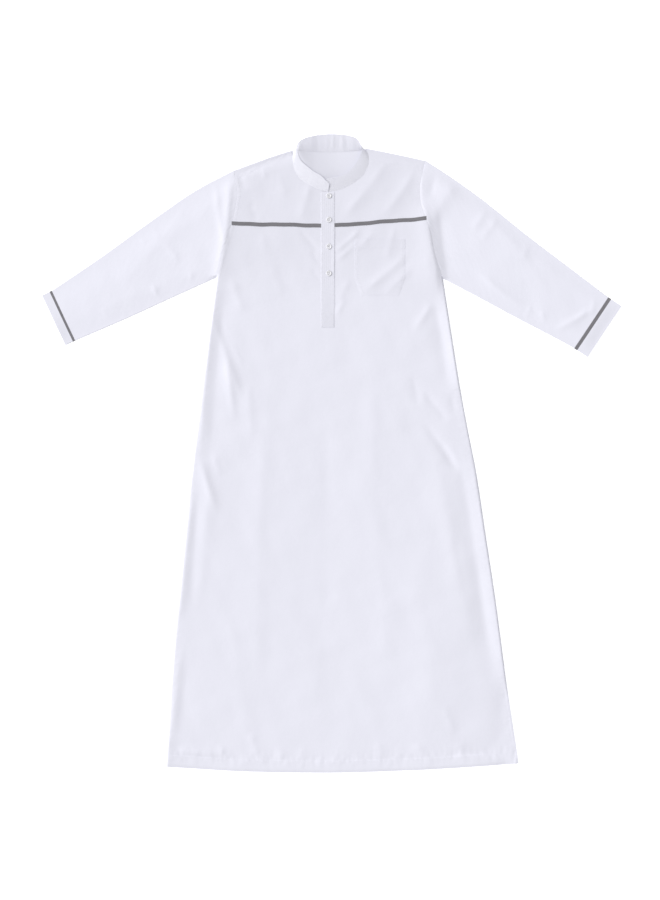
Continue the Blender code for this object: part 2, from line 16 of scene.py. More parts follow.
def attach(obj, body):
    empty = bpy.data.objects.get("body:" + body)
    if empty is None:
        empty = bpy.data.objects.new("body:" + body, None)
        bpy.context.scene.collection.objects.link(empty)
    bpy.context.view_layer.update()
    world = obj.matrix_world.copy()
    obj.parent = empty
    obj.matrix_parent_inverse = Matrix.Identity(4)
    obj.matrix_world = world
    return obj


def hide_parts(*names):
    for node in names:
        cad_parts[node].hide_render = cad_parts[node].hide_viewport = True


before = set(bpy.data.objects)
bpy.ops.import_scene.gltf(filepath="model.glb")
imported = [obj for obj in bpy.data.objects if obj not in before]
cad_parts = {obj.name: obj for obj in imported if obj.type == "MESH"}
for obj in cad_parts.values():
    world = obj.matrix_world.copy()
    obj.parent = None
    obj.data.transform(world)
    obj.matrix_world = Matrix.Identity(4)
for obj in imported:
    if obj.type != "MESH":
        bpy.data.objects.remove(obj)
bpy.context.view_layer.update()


# Surface, camera and light
# The robe lies on a pale matt board in a studio, which glows a little, so it stays white round the
# robe. The camera hangs straight above. The light is a broad soft one from the left, with pale walls.
CAMERA_PLACE = (-0.003, 0.0072, 3.183)
CAMERA_LENS = 60
BOARD_REACH = 4.0
BOARD_LEVEL = -0.0003
BOARD_GLOW = 0.5
KEY_FROM = Vector((-3.0, 0.9, 2.34))
KEY_ANGLE = radians(65)
KEY_STRENGTH = 3.25
WALLS = (0.465, 0.465, 0.47)


def in_scene(name, data):
    """A new object of the scene, from its mesh, camera or light."""
    made = bpy.data.objects.new(name, data)
    bpy.context.scene.collection.objects.link(made)
    return made


def new_look(name, **settings):
    """A new material and its shader, whose settings are named with _ in place of spaces."""
    look = bpy.data.materials.new(name)
    look.use_nodes = True
    shader = look.node_tree.nodes["Principled BSDF"]
    for label, value in settings.items():
        shader.inputs[label.replace("_", " ")].default_value = value
    return look, shader


board_mesh = bpy.data.meshes.new("board")
board_corners = [(x * BOARD_REACH, y * BOARD_REACH, BOARD_LEVEL)
                 for x, y in ((-1, -1), (1, -1), (1, 1), (-1, 1))]
board_mesh.from_pydata(board_corners, [], [(0, 1, 2, 3)])
board = in_scene("board", board_mesh)
board_look, _ = new_look(
    "matt board",
    Base_Color=(0.95, 0.95, 0.95, 1),
    Roughness=0.9,
    Specular_IOR_Level=0.1,
    Emission_Color=(1, 1, 1, 1),
    Emission_Strength=BOARD_GLOW,
)
board_mesh.materials.append(board_look)

camera_data = bpy.data.cameras.new("camera above")
camera_data.lens = CAMERA_LENS
camera = in_scene("camera above", camera_data)
camera.location = CAMERA_PLACE
bpy.context.scene.camera = camera

key_data = bpy.data.lights.new("soft key", "SUN")
key_data.angle = KEY_ANGLE
key_data.energy = KEY_STRENGTH
key = in_scene("soft key", key_data)
key.location = KEY_FROM
key.rotation_euler = (-KEY_FROM).to_track_quat("-Z", "Y").to_euler()

world = bpy.data.worlds.new("pale studio")
world.use_nodes = True
world.node_tree.nodes["Background"].inputs["Color"].default_value = (*WALLS, 1)
bpy.context.scene.world = world
bpy.context.scene.view_settings.view_transform = "Standard"


# Back panel
# One piece of white plain-woven cotton blend from the hem to the yoke seam. It lies flat on the
# surface, with a few slack creases, and is sewn to the front down both sides.
MM = 0.001
CLOTH = 0.7
BACK_MIDDLE = 0.5
BACK_MOST_LIFT = 0.8
BACK_SLACK = 0.12
BACK_COLUMNS = 100
UNDERARM = 372.0
HEM_LEVEL = -676.0
HEM_BAND = 25.0
HEM_CURVE_REACH = 240.0
HEM_PUCKERS = {"back": 14.0, "front": 15.0}
SEAM_CLEAR = 0.1
CLOTH_COLOUR = (0.753, 0.753, 0.833)
THREAD_COLOUR = (0.80, 0.80, 0.86)
CLOTH_THREADS = 0.00045

Side = namedtuple("Side", "y left right")
SIDES = (
    Side(-676, -353, 397),
    Side(-480, -340, 370),
    Side(-320, -326, 349),
    Side(-160, -310, 325),
    Side(-30, -296, 305),
    Side(50, -286, 289),
    Side(155, -274, 270),
    Side(262, -259, 253),
    Side(372, -244, 236),
)
HemPoint = namedtuple("HemPoint", "x y")
HEM = (
    HemPoint(-353, -664),
    HemPoint(-190, -674),
    HemPoint(-50, -677),
    HemPoint(190, -671),
    HemPoint(397, -658),
)
ArmholePoint = namedtuple("ArmholePoint", "y left right")
ARMHOLE = (
    ArmholePoint(372, -244, 236),
    ArmholePoint(425, -230, 219),
    ArmholePoint(468, -217, 211),
    ArmholePoint(500, -208, 200),
    ArmholePoint(525, -203.5, 191.5),
    ArmholePoint(555, -199.5, 188),
    ArmholePoint(580, -204, 190),
    ArmholePoint(600, -207.5, 195),
    ArmholePoint(620, -211, 200),
)
SHOULDER_TIP = {"left": (-207.5, 599.5), "right": (200, 620)}
BACK_SEAM = {"left": 544.2, "right": 566.0}

# A crease runs down from its first place to its second and bows to the right. It falls away over a
# width of its own on its left and on its right. One with a negative height is a trough.
Crease = namedtuple("Crease", "x1 y1 x2 y2 bow left right height")
BACK_CREASES = (
    Crease(-210, 300, -120, -40, -12, 16, 12, 0.7),
    Crease(190, 280, 130, -60, 10, 14, 18, 0.7),
    Crease(-60, 180, -90, -420, -14, 26, 20, 0.6),
    Crease(80, 120, 120, -520, 12, 20, 24, 0.6),
    Crease(-250, -60, -270, -520, 8, 20, 14, 0.7),
    Crease(240, -90, 300, -540, -10, 14, 20, 0.7),
    Crease(-190, 520, -90, 420, -8, 14, 10, 0.6),
    Crease(180, 530, 70, 410, 9, 12, 15, 0.6),
    Crease(-150, -300, -10, -560, -16, 22, 16, 0.5),
)


def smooth_at(knots, values, at):
    """A smooth curve through values at rising knots, read at many places at once."""
    knots = np.asarray(knots, float)
    values = np.asarray(values, float)
    slopes = np.gradient(values, knots)
    at = np.clip(at, knots[0], knots[-1])
    i = np.clip(np.searchsorted(knots, at) - 1, 0, len(knots) - 2)
    span = knots[i + 1] - knots[i]
    f = (at - knots[i]) / span
    start = (1 + 2 * f) * (1 - f) ** 2 * values[i] + f * (1 - f) ** 2 * span * slopes[i]
    end = f * f * (3 - 2 * f) * values[i + 1] + f * f * (f - 1) * span * slopes[i + 1]
    return start + end


def smooth_path(points, shares):
    """Places at shares, from 0 to 1, of the way along a smooth curve through points."""
    points = np.asarray(points, float)
    walked = np.concatenate([[0], np.cumsum(np.linalg.norm(np.diff(points, axis=0), axis=1))])
    at = np.asarray(shares) * walked[-1]
    return np.stack([smooth_at(walked, points[:, axis], at) for axis in range(points.shape[1])], axis=-1)


def ease(f):
    """0 up to f = 0, 1 from f = 1, and level at both."""
    f = np.clip(f, 0, 1)
    return f * f * (3 - 2 * f)


def side_x(side, y):
    return smooth_at([s.y for s in SIDES], [getattr(s, side) for s in SIDES], y)


def armhole_x(side, y):
    return smooth_at([a.y for a in ARMHOLE], [getattr(a, side) for a in ARMHOLE], y)


def hem_y(x):
    return smooth_at([h.x for h in HEM], [h.y for h in HEM], x)


def with_hem_curve(x, y):
    """y of a row of the body, bent to the hem's curve the nearer it is to the hem."""
    return y + (hem_y(x) - HEM_LEVEL) * (1 - ease((y - HEM_LEVEL) / HEM_CURVE_REACH))


def off_line(x, y, line):
    """Distance of places from a line of straight pieces."""
    nearest = np.full(np.shape(x), 1e6)
    for (ax, ay), (bx, by) in zip(line, line[1:]):
        run = (bx - ax) ** 2 + (by - ay) ** 2
        along = np.clip(((x - ax) * (bx - ax) + (y - ay) * (by - ay)) / run, 0, 1)
        nearest = np.minimum(nearest, np.hypot(x - ax - along * (bx - ax), y - ay - along * (by - ay)))
    return nearest


def close_to(off, reach):
    """1 on a line, and nearly 0 at twice reach from it."""
    return np.exp(-(off / reach) ** 2)


def creased(x, y, creases):
    """Height that creases add. Each has a pressed middle, and tapers to nothing at both ends."""
    total = np.zeros(np.shape(x))
    for number, crease in enumerate(creases):
        run = np.array((crease.x2 - crease.x1, crease.y2 - crease.y1), float)
        length = np.hypot(*run)
        along = ((x - crease.x1) * run[0] + (y - crease.y1) * run[1]) / length ** 2
        across = ((y - crease.y1) * run[0] - (x - crease.x1) * run[1]) / length
        across = across - crease.bow * 4 * along * (1 - along)
        spread = np.where(across < 0, crease.left, crease.right)
        spread = spread * (0.85 + 0.3 * np.clip(along, 0, 1) + 0.1 * np.sin(11 * along + number))
        pressed = np.exp(-1.7 * (np.sqrt((across / spread) ** 2 + 0.12) - 0.346))
        uneven = 1 + 0.18 * np.sin(8 * along + 2.1 * number)
        total += crease.height * uneven * ease(along / 0.3) * ease((1 - along) / 0.3) * pressed
    return total


def slack(x, y, seed, shortest=42.0, longest=170.0, waves=26):
    """Faint unevenness of cloth that lies flat, about 1 high: many long low waves, all ways."""
    dice = np.random.default_rng(seed)
    total = np.zeros(np.shape(x))
    for wave in range(waves):
        length = shortest * (longest / shortest) ** (wave / (waves - 1))
        heading = dice.uniform(0, pi)
        phase = dice.uniform(0, 2 * pi)
        turn = 2 * pi * (x * cos(heading) + y * sin(heading)) / length + phase
        total += (length / longest) ** 0.9 * np.sin(turn)
    return total / np.sqrt(waves / 4)


def back_z(x, y):
    """Middle of the back layer's wall."""
    lift = creased(x, y, BACK_CREASES) + BACK_SLACK * slack(x, y, seed=5)
    return BACK_MIDDLE + np.clip(lift, 0, BACK_MOST_LIFT)


def across_shares(count, width, close_left, close_right, close=(1.4, 1.7, 2.1, 2.6, 3.2)):
    """Shares of a width in millimetres: even, with closer ones at an end that has a seam."""
    near = np.concatenate([[0], np.cumsum(close)])
    low = near[-1] if close_left else 0
    high = width - near[-1] if close_right else width
    ends = [near[:-1] if close_left else near[:0], width - near[:-1][::-1] if close_right else near[:0]]
    inner = np.linspace(low, high, count - len(ends[0]) - len(ends[1]))
    return np.concatenate([ends[0], inner, ends[1]]) / width


def thicken(piece, thick, round_off=0.22):
    """Give a surface the thickness of its cloth, with softly rounded edges."""
    wall = piece.modifiers.new("Cloth thickness", "SOLIDIFY")
    wall.thickness = thick * MM
    wall.offset = 0
    edge = piece.modifiers.new("Soft edge", "BEVEL")
    edge.width = round_off * MM
    edge.segments = 2
    edge.limit_method = "ANGLE"
    edge.angle_limit = radians(50)
    edge.harden_normals = True


def cloth_piece(name, places, cut_places, look, thick=CLOTH, closed=False, keep=None, near_hem=None,
                near_seam=None, painted_light_and_shade=None, round_off=0.22):
    """A cloth piece from a grid of places through the middle of its wall.

    cut_places are where the same points lie on the flat cut, for the weave. keep says which of the
    grid's squares there are. near_hem and near_seam, 0 to 1, say where the cloth puckers, and the
    third attribute is the painted light and shade added to its tone.
    """
    rows, columns = places.shape[:2]
    across = columns if closed else columns - 1
    low = np.arange(rows - 1)[:, None] * columns
    left = np.arange(across)[None, :]
    right = (left + 1) % columns
    faces = np.stack([low + left, low + right, low + columns + right, low + columns + left], axis=-1)
    if keep is not None:
        faces = faces[keep]
    faces = faces.reshape(-1, 4)
    used, faces = np.unique(faces, return_inverse=True)
    faces = faces.reshape(-1, 4)

    mesh = bpy.data.meshes.new(name)
    mesh.from_pydata((places.reshape(-1, 3)[used] * MM).tolist(), [], faces.tolist())
    cut_left = np.broadcast_to(left, (rows - 1, across))
    cut_row = np.broadcast_to(np.arange(rows - 1)[:, None], (rows - 1, across))
    corners = [(cut_row, cut_left), (cut_row, cut_left + 1),
               (cut_row + 1, cut_left + 1), (cut_row + 1, cut_left)]
    uv = np.stack([cut_places[row, column] for row, column in corners], axis=2)
    if keep is not None:
        uv = uv[keep]
    cut_map = mesh.uv_layers.new(name="Cloth")
    cut_map.data.foreach_set("uv", (uv.reshape(-1) * MM).astype(np.float32))
    for label, values in (("near_hem", near_hem), ("near_seam", near_seam), ("painted_light_and_shade", painted_light_and_shade)):
        if values is not None:
            layer = mesh.attributes.new(label, "FLOAT", "POINT")
            layer.data.foreach_set("value", values.reshape(-1)[used].astype(np.float32))
    mesh.materials.append(look)
    mesh.shade_smooth()

    made = in_scene(name, mesh)
    thicken(made, thick, round_off)
    return made


def dress(piece, replaced):
    """Put a piece on the robe's one body, in place of a solid."""
    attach(piece, "root")
    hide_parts(replaced)


def shader_math(tree, operation, *values):
    """A Math node, with values or sockets as its inputs."""
    node = tree.nodes.new("ShaderNodeMath")
    node.operation = operation
    for socket, value in zip(node.inputs, values):
        if isinstance(value, bpy.types.NodeSocket):
            tree.links.new(value, socket)
        else:
            socket.default_value = value
    return node.outputs[0]


def shader_noise(tree, place, stretch, detail=2.0):
    """A noise texture, with its number of waves in a metre each way."""
    scaled = tree.nodes.new("ShaderNodeVectorMath")
    scaled.operation = "MULTIPLY"
    scaled.inputs[1].default_value = stretch
    tree.links.new(place, scaled.inputs[0])
    noise = tree.nodes.new("ShaderNodeTexNoise")
    noise.inputs["Scale"].default_value = 1
    noise.inputs["Detail"].default_value = detail
    tree.links.new(scaled.outputs[0], noise.inputs["Vector"])
    return noise.outputs["Fac"]


def attribute(tree, label):
    node = tree.nodes.new("ShaderNodeAttribute")
    node.attribute_name = label
    return node.outputs["Fac"]


def woven_threads():
    """Node group: over and under of a plain weave, and its uneven threads, from a place in metres."""
    tree = bpy.data.node_groups.new("Woven threads", "ShaderNodeTree")
    for label, kind in (("Place", "NodeSocketVector"), ("Thread spacing", "NodeSocketFloat")):
        tree.interface.new_socket(label, in_out="INPUT", socket_type=kind)
    for label in ("Height", "Thread tone"):
        tree.interface.new_socket(label, in_out="OUTPUT", socket_type="NodeSocketFloat")
    given = tree.nodes.new("NodeGroupInput")
    result = tree.nodes.new("NodeGroupOutput")
    place = given.outputs["Place"]
    split = tree.nodes.new("ShaderNodeSeparateXYZ")
    tree.links.new(place, split.inputs[0])
    waves = []
    for axis in "XY":
        threads = shader_math(tree, "DIVIDE", split.outputs[axis], given.outputs["Thread spacing"])
        waves.append(shader_math(tree, "SINE", shader_math(tree, "MULTIPLY", threads, pi)))
    woven = shader_math(tree, "MULTIPLY", *waves)
    tree.links.new(shader_math(tree, "MULTIPLY_ADD", woven, 0.5, 0.5), result.inputs["Height"])
    tones = [shader_noise(tree, place, stretch, 1) for stretch in ((1500, 28, 1), (28, 1500, 1))]
    both = shader_math(tree, "ADD", *tones)
    tree.links.new(shader_math(tree, "MULTIPLY", both, 0.5), result.inputs["Thread tone"])
    return tree


threads_group = woven_threads()


def threads_at(tree, spacing):
    """A place on a piece's flat cut, and the woven threads there."""
    uv = tree.nodes.new("ShaderNodeUVMap")
    uv.uv_map = "Cloth"
    threads = tree.nodes.new("ShaderNodeGroup")
    threads.node_tree = threads_group
    threads.inputs["Thread spacing"].default_value = spacing
    tree.links.new(uv.outputs["UV"], threads.inputs["Place"])
    return uv.outputs["UV"], threads


def shade_by(tree, shader, tone, colour, darkest, palest):
    """Give a shader its colour, from darkest to palest times it by a tone."""
    shade = tree.nodes.new("ShaderNodeMix")
    shade.data_type = "RGBA"
    shade.inputs["A"].default_value = (*[c * darkest for c in colour], 1)
    shade.inputs["B"].default_value = (*[min(1, c * palest) for c in colour], 1)
    tree.links.new(tone, shade.inputs["Factor"])
    tree.links.new(shade.outputs["Result"], shader.inputs["Base Color"])


def raise_by(tree, shader, height, distance=MM):
    """Give a shader its relief, from a height in units of distance."""
    bump = tree.nodes.new("ShaderNodeBump")
    bump.inputs["Distance"].default_value = distance
    tree.links.new(height, bump.inputs["Height"])
    tree.links.new(bump.outputs["Normal"], shader.inputs["Normal"])


def rough_by(tree, shader, tone, spread, smoothest):
    """Give a shader its roughness, from smoothest up by spread times a tone."""
    tree.links.new(shader_math(tree, "MULTIPLY_ADD", tone, spread, smoothest), shader.inputs["Roughness"])


def cotton(name, colour, crumple, see_through):
    """White cloth: fine weave, faint cloudy tone, small crumples, and puckers along its seams.

    An attribute adds painted light and shade to its tone.
    """
    look, shader = new_look(
        name,
        Subsurface_Weight=see_through,
        Subsurface_Radius=(1.0, 1.0, 1.0),
        Subsurface_Scale=0.0025,
        Sheen_Weight=0.12,
        Sheen_Roughness=0.5,
        Specular_IOR_Level=0.25,
    )
    tree = look.node_tree
    place, threads = threads_at(tree, CLOTH_THREADS)
    cloudy = shader_noise(tree, place, (11, 11, 1), 3)
    fine = shader_math(tree, "MULTIPLY_ADD", threads.outputs["Thread tone"], 0.08, 0.46)
    tone = shader_math(tree, "ADD", shader_math(tree, "MULTIPLY", cloudy, 0.06), fine)
    # painted light and shade, carried by the pieces' attribute
    tone = shader_math(tree, "ADD", tone, attribute(tree, "painted_light_and_shade"))
    shade_by(tree, shader, tone, colour, 0.90, 1.09)
    rough_by(tree, shader, threads.outputs["Thread tone"], 0.12, 0.74)

    woven = shader_math(tree, "MULTIPLY", threads.outputs["Height"], 0.03)
    crumpled = shader_math(tree, "MULTIPLY", shader_noise(tree, place, (48, 48, 1), 3), crumple)
    height = shader_math(tree, "ADD", woven, crumpled)
    for label, stretch, most in (("near_hem", (52, 30, 1), 1.8), ("near_seam", (60, 110, 1), 0.7)):
        waves = shader_noise(tree, place, stretch, 1)
        puckers = shader_math(tree, "MULTIPLY_ADD", waves, most, -most / 2)
        height = shader_math(tree, "MULTIPLY_ADD", puckers, attribute(tree, label), height)
    raise_by(tree, shader, height)
    return look


white_cloth = cotton("white cloth", CLOTH_COLOUR, crumple=0.3, see_through=0.0)


def stitch_tree():
    """Geometry Nodes: a row of raised stitches along every line of edges."""
    tree = bpy.data.node_groups.new("Stitches along lines", "GeometryNodeTree")
    tree.interface.new_socket("Lines", in_out="INPUT", socket_type="NodeSocketGeometry")
    for label in ("Stitch length", "Stitch spacing", "Thread thickness"):
        tree.interface.new_socket(label, in_out="INPUT", socket_type="NodeSocketFloat")
    tree.interface.new_socket("Thread", in_out="INPUT", socket_type="NodeSocketMaterial")
    tree.interface.new_socket("Stitches", in_out="OUTPUT", socket_type="NodeSocketGeometry")
    given = tree.nodes.new("NodeGroupInput")
    result = tree.nodes.new("NodeGroupOutput")
    curve = tree.nodes.new("GeometryNodeMeshToCurve")
    spaced = tree.nodes.new("GeometryNodeResampleCurve")
    spaced.mode = "LENGTH"
    bead = tree.nodes.new("GeometryNodeMeshUVSphere")
    bead.inputs["Segments"].default_value = 6
    bead.inputs["Rings"].default_value = 4
    smooth = tree.nodes.new("GeometryNodeSetShadeSmooth")
    tangent = tree.nodes.new("GeometryNodeInputTangent")
    aim = tree.nodes.new("FunctionNodeAlignRotationToVector")
    aim.axis = "X"
    size = tree.nodes.new("ShaderNodeCombineXYZ")
    half_length = shader_math(tree, "MULTIPLY", given.outputs["Stitch length"], 0.5)
    half_thick = shader_math(tree, "MULTIPLY", given.outputs["Thread thickness"], 0.5)
    place = tree.nodes.new("GeometryNodeInstanceOnPoints")
    real = tree.nodes.new("GeometryNodeRealizeInstances")
    finish = tree.nodes.new("GeometryNodeSetMaterial")
    for start, end in (
        (given.outputs["Lines"], curve.inputs["Mesh"]),
        (curve.outputs["Curve"], spaced.inputs["Curve"]),
        (given.outputs["Stitch spacing"], spaced.inputs["Length"]),
        (half_length, size.inputs["X"]),
        (half_thick, size.inputs["Y"]),
        (half_thick, size.inputs["Z"]),
        (tangent.outputs["Tangent"], aim.inputs["Vector"]),
        (bead.outputs["Mesh"], smooth.inputs["Geometry"]),
        (spaced.outputs["Curve"], place.inputs["Points"]),
        (smooth.outputs["Geometry"], place.inputs["Instance"]),
        (aim.outputs["Rotation"], place.inputs["Rotation"]),
        (size.outputs["Vector"], place.inputs["Scale"]),
        (place.outputs["Instances"], real.inputs["Geometry"]),
        (real.outputs["Geometry"], finish.inputs["Geometry"]),
        (given.outputs["Thread"], finish.inputs["Material"]),
        (finish.outputs["Geometry"], result.inputs["Stitches"]),
    ):
        tree.links.new(start, end)
    return tree


stitches = stitch_tree()


def thread_look(name, colour):
    """Spun thread: a twist along its length, and a slight gloss."""
    look, shader = new_look(name, Sheen_Weight=0.2)
    tree = look.node_tree
    places = tree.nodes.new("ShaderNodeTexCoord")
    twist = shader_noise(tree, places.outputs["Object"], (2200, 2200, 2200), 1)
    shade_by(tree, shader, twist, colour, 0.88, 1.08)
    rough_by(tree, shader, twist, 0.3, 0.4)
    raise_by(tree, shader, twist, 0.05 * MM)
    return look


white_thread = thread_look("white thread", THREAD_COLOUR)


def sew(name, lines, length=2.0, spacing=2.6, thick=0.34, look=white_thread):
    """Stitches along lines of places in millimetres."""
    verts = []
    edges = []
    for line in lines:
        start = len(verts)
        verts += [Vector(place) * MM for place in line]
        edges += [(i, i + 1) for i in range(start, len(verts) - 1)]
    guide_mesh = bpy.data.meshes.new(name + " line")
    guide_mesh.from_pydata(verts, edges, [])
    guide = in_scene(name + " line", guide_mesh)
    sewing = guide.modifiers.new("Stitches", "NODES")
    sewing.node_group = stitches
    values = {
        "Stitch length": length * MM,
        "Stitch spacing": spacing * MM,
        "Thread thickness": thick * MM,
        "Thread": look,
    }
    for socket in stitches.interface.items_tree:
        if socket.in_out == "INPUT" and socket.name in values:
            sewing[socket.identifier] = values[socket.name]
    evaluated = guide.evaluated_get(bpy.context.evaluated_depsgraph_get())
    mesh = bpy.data.meshes.new_from_object(evaluated)
    bpy.data.objects.remove(guide, do_unlink=True)
    mesh.name = name
    made = in_scene(name, mesh)
    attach(made, "root")
    return made


body_heights = np.concatenate([
    HEM_LEVEL + np.array((0, 1.5, 4, 8, 12, 16, 20, 23, 24.4, 25.6, 27, 30)),
    np.linspace(HEM_LEVEL + 34, 302, 176),
])
back_rows = []
for y in np.concatenate([body_heights, np.linspace(302, UNDERARM, 14)[1:]]):
    left, right = side_x("left", y), side_x("right", y)
    x = left + (right - left) * across_shares(BACK_COLUMNS, right - left, True, True)
    back_rows.append(np.stack([x, with_hem_curve(x, y)], axis=-1))
for share in np.linspace(0, 1, 34)[1:]:
    low_y = UNDERARM + (BACK_SEAM["left"] - SEAM_CLEAR - UNDERARM) * share
    high_y = UNDERARM + (BACK_SEAM["right"] - SEAM_CLEAR - UNDERARM) * share
    left, right = armhole_x("left", low_y), armhole_x("right", high_y)
    shares = across_shares(BACK_COLUMNS, right - left, True, True)
    x = left + (right - left) * shares
    back_rows.append(np.stack([x, low_y + (high_y - low_y) * shares], axis=-1))
back_plan = np.array(back_rows)
back_x, back_y = back_plan[..., 0], back_plan[..., 1]
hem_line = [(h.x, h.y + HEM_BAND) for h in HEM]
back = cloth_piece(
    "back_panel",
    np.stack([back_x, back_y, back_z(back_x, back_y)], axis=-1),
    back_plan,
    white_cloth,
    near_hem=close_to(off_line(back_x, back_y, hem_line), HEM_PUCKERS["back"]),
)
dress(back, "back_body")


# Front panel
# One piece of the same cloth, cut open down the middle of the chest for the placket. It lies on the
# back with its creases, and its hem is turned up twice and sewn.
LAYER_GAP = 0.04
LAID_GAP = 0.03
FRONT_LEVEL = 3.6
FRONT_SLACK = 0.25
FRONT_EDGE = BACK_MIDDLE + CLOTH + LAYER_GAP
FRONT_MOST = 8.5
# How far in from an edge the upper layer takes to rise to its level: from the side seams, from the
# folds over the shoulders, and from a sleeve's lower edge and its fold along the top
SIDE_ROLL = {"left": 3.8, "right": 1.9}
TOP_ROLL = 30.0
LOW_ROLL = 44.0
SLEEVE_TOP_ROLL = {"left": 66.0, "right": 34.0}
SLOT_LEFT = -19.0
SLOT_RIGHT = 3.3
SLOT_LOW = 302.0
HEM_STEP = 0.4
HEM_STEP_WIDTH = 1.2
HEM_DROP = 1.2
HEM_ROLL = 5.0
ARMHOLE_DIP = 0.26
YOKE_DIP = 0.07
SEAM_WIDTH = 1.8
SEAM_LAP = 0.4
PUCKER_REACH = 8.0
EDGE_PUCKERS = 6.0
CLOSE_STITCH = {"length": 1.9, "spacing": 2.4}
HEM_STITCH = 1.6
ARMHOLE_STITCH = 6.5
YOKE_STITCH = 1.8
ON_FACE = 0.06
FINE_THREAD = 0.26
# Painted shade: how much deeper the cloth is painted over the chest
CHEST_PAINTED_SHADE = 0.18
SHOULDER_LENGTH = 130.0
ARMHOLE_HEIGHT = 210.0

# The yoke's fold over the shoulder and its seam on the front, from the neck to the armhole
YokePoint = namedtuple("YokePoint", "fold_x fold_y seam_x seam_y")
YOKE = {
    "left": (
        YokePoint(-84, 642.5, -83.5, 632),
        YokePoint(-128, 628.5, -128, 618.5),
        YokePoint(-168, 614, -172, 594.5),
        YokePoint(-207.5, 599.5, -204.5, 580),
    ),
    "right": (
        YokePoint(73.5, 646.5, 79.5, 617.5),
        YokePoint(115, 638.5, 112, 613),
        YokePoint(158, 629.5, 155, 610.5),
        YokePoint(200, 620, 197.5, 609),
    ),
}
NECK_LINE = {
    "left": ((SLOT_LEFT, 560.5), (-33, 563.5), (-54, 574.5), (-68.5, 585.5), (-77, 600), (-81.5, 618),
             (-83.5, 632)),
    "right": ((SLOT_RIGHT, 555), (10, 558), (33, 566.5), (53, 578.5), (68, 593), (76.5, 610.5),
              (79.5, 617.5)),
}
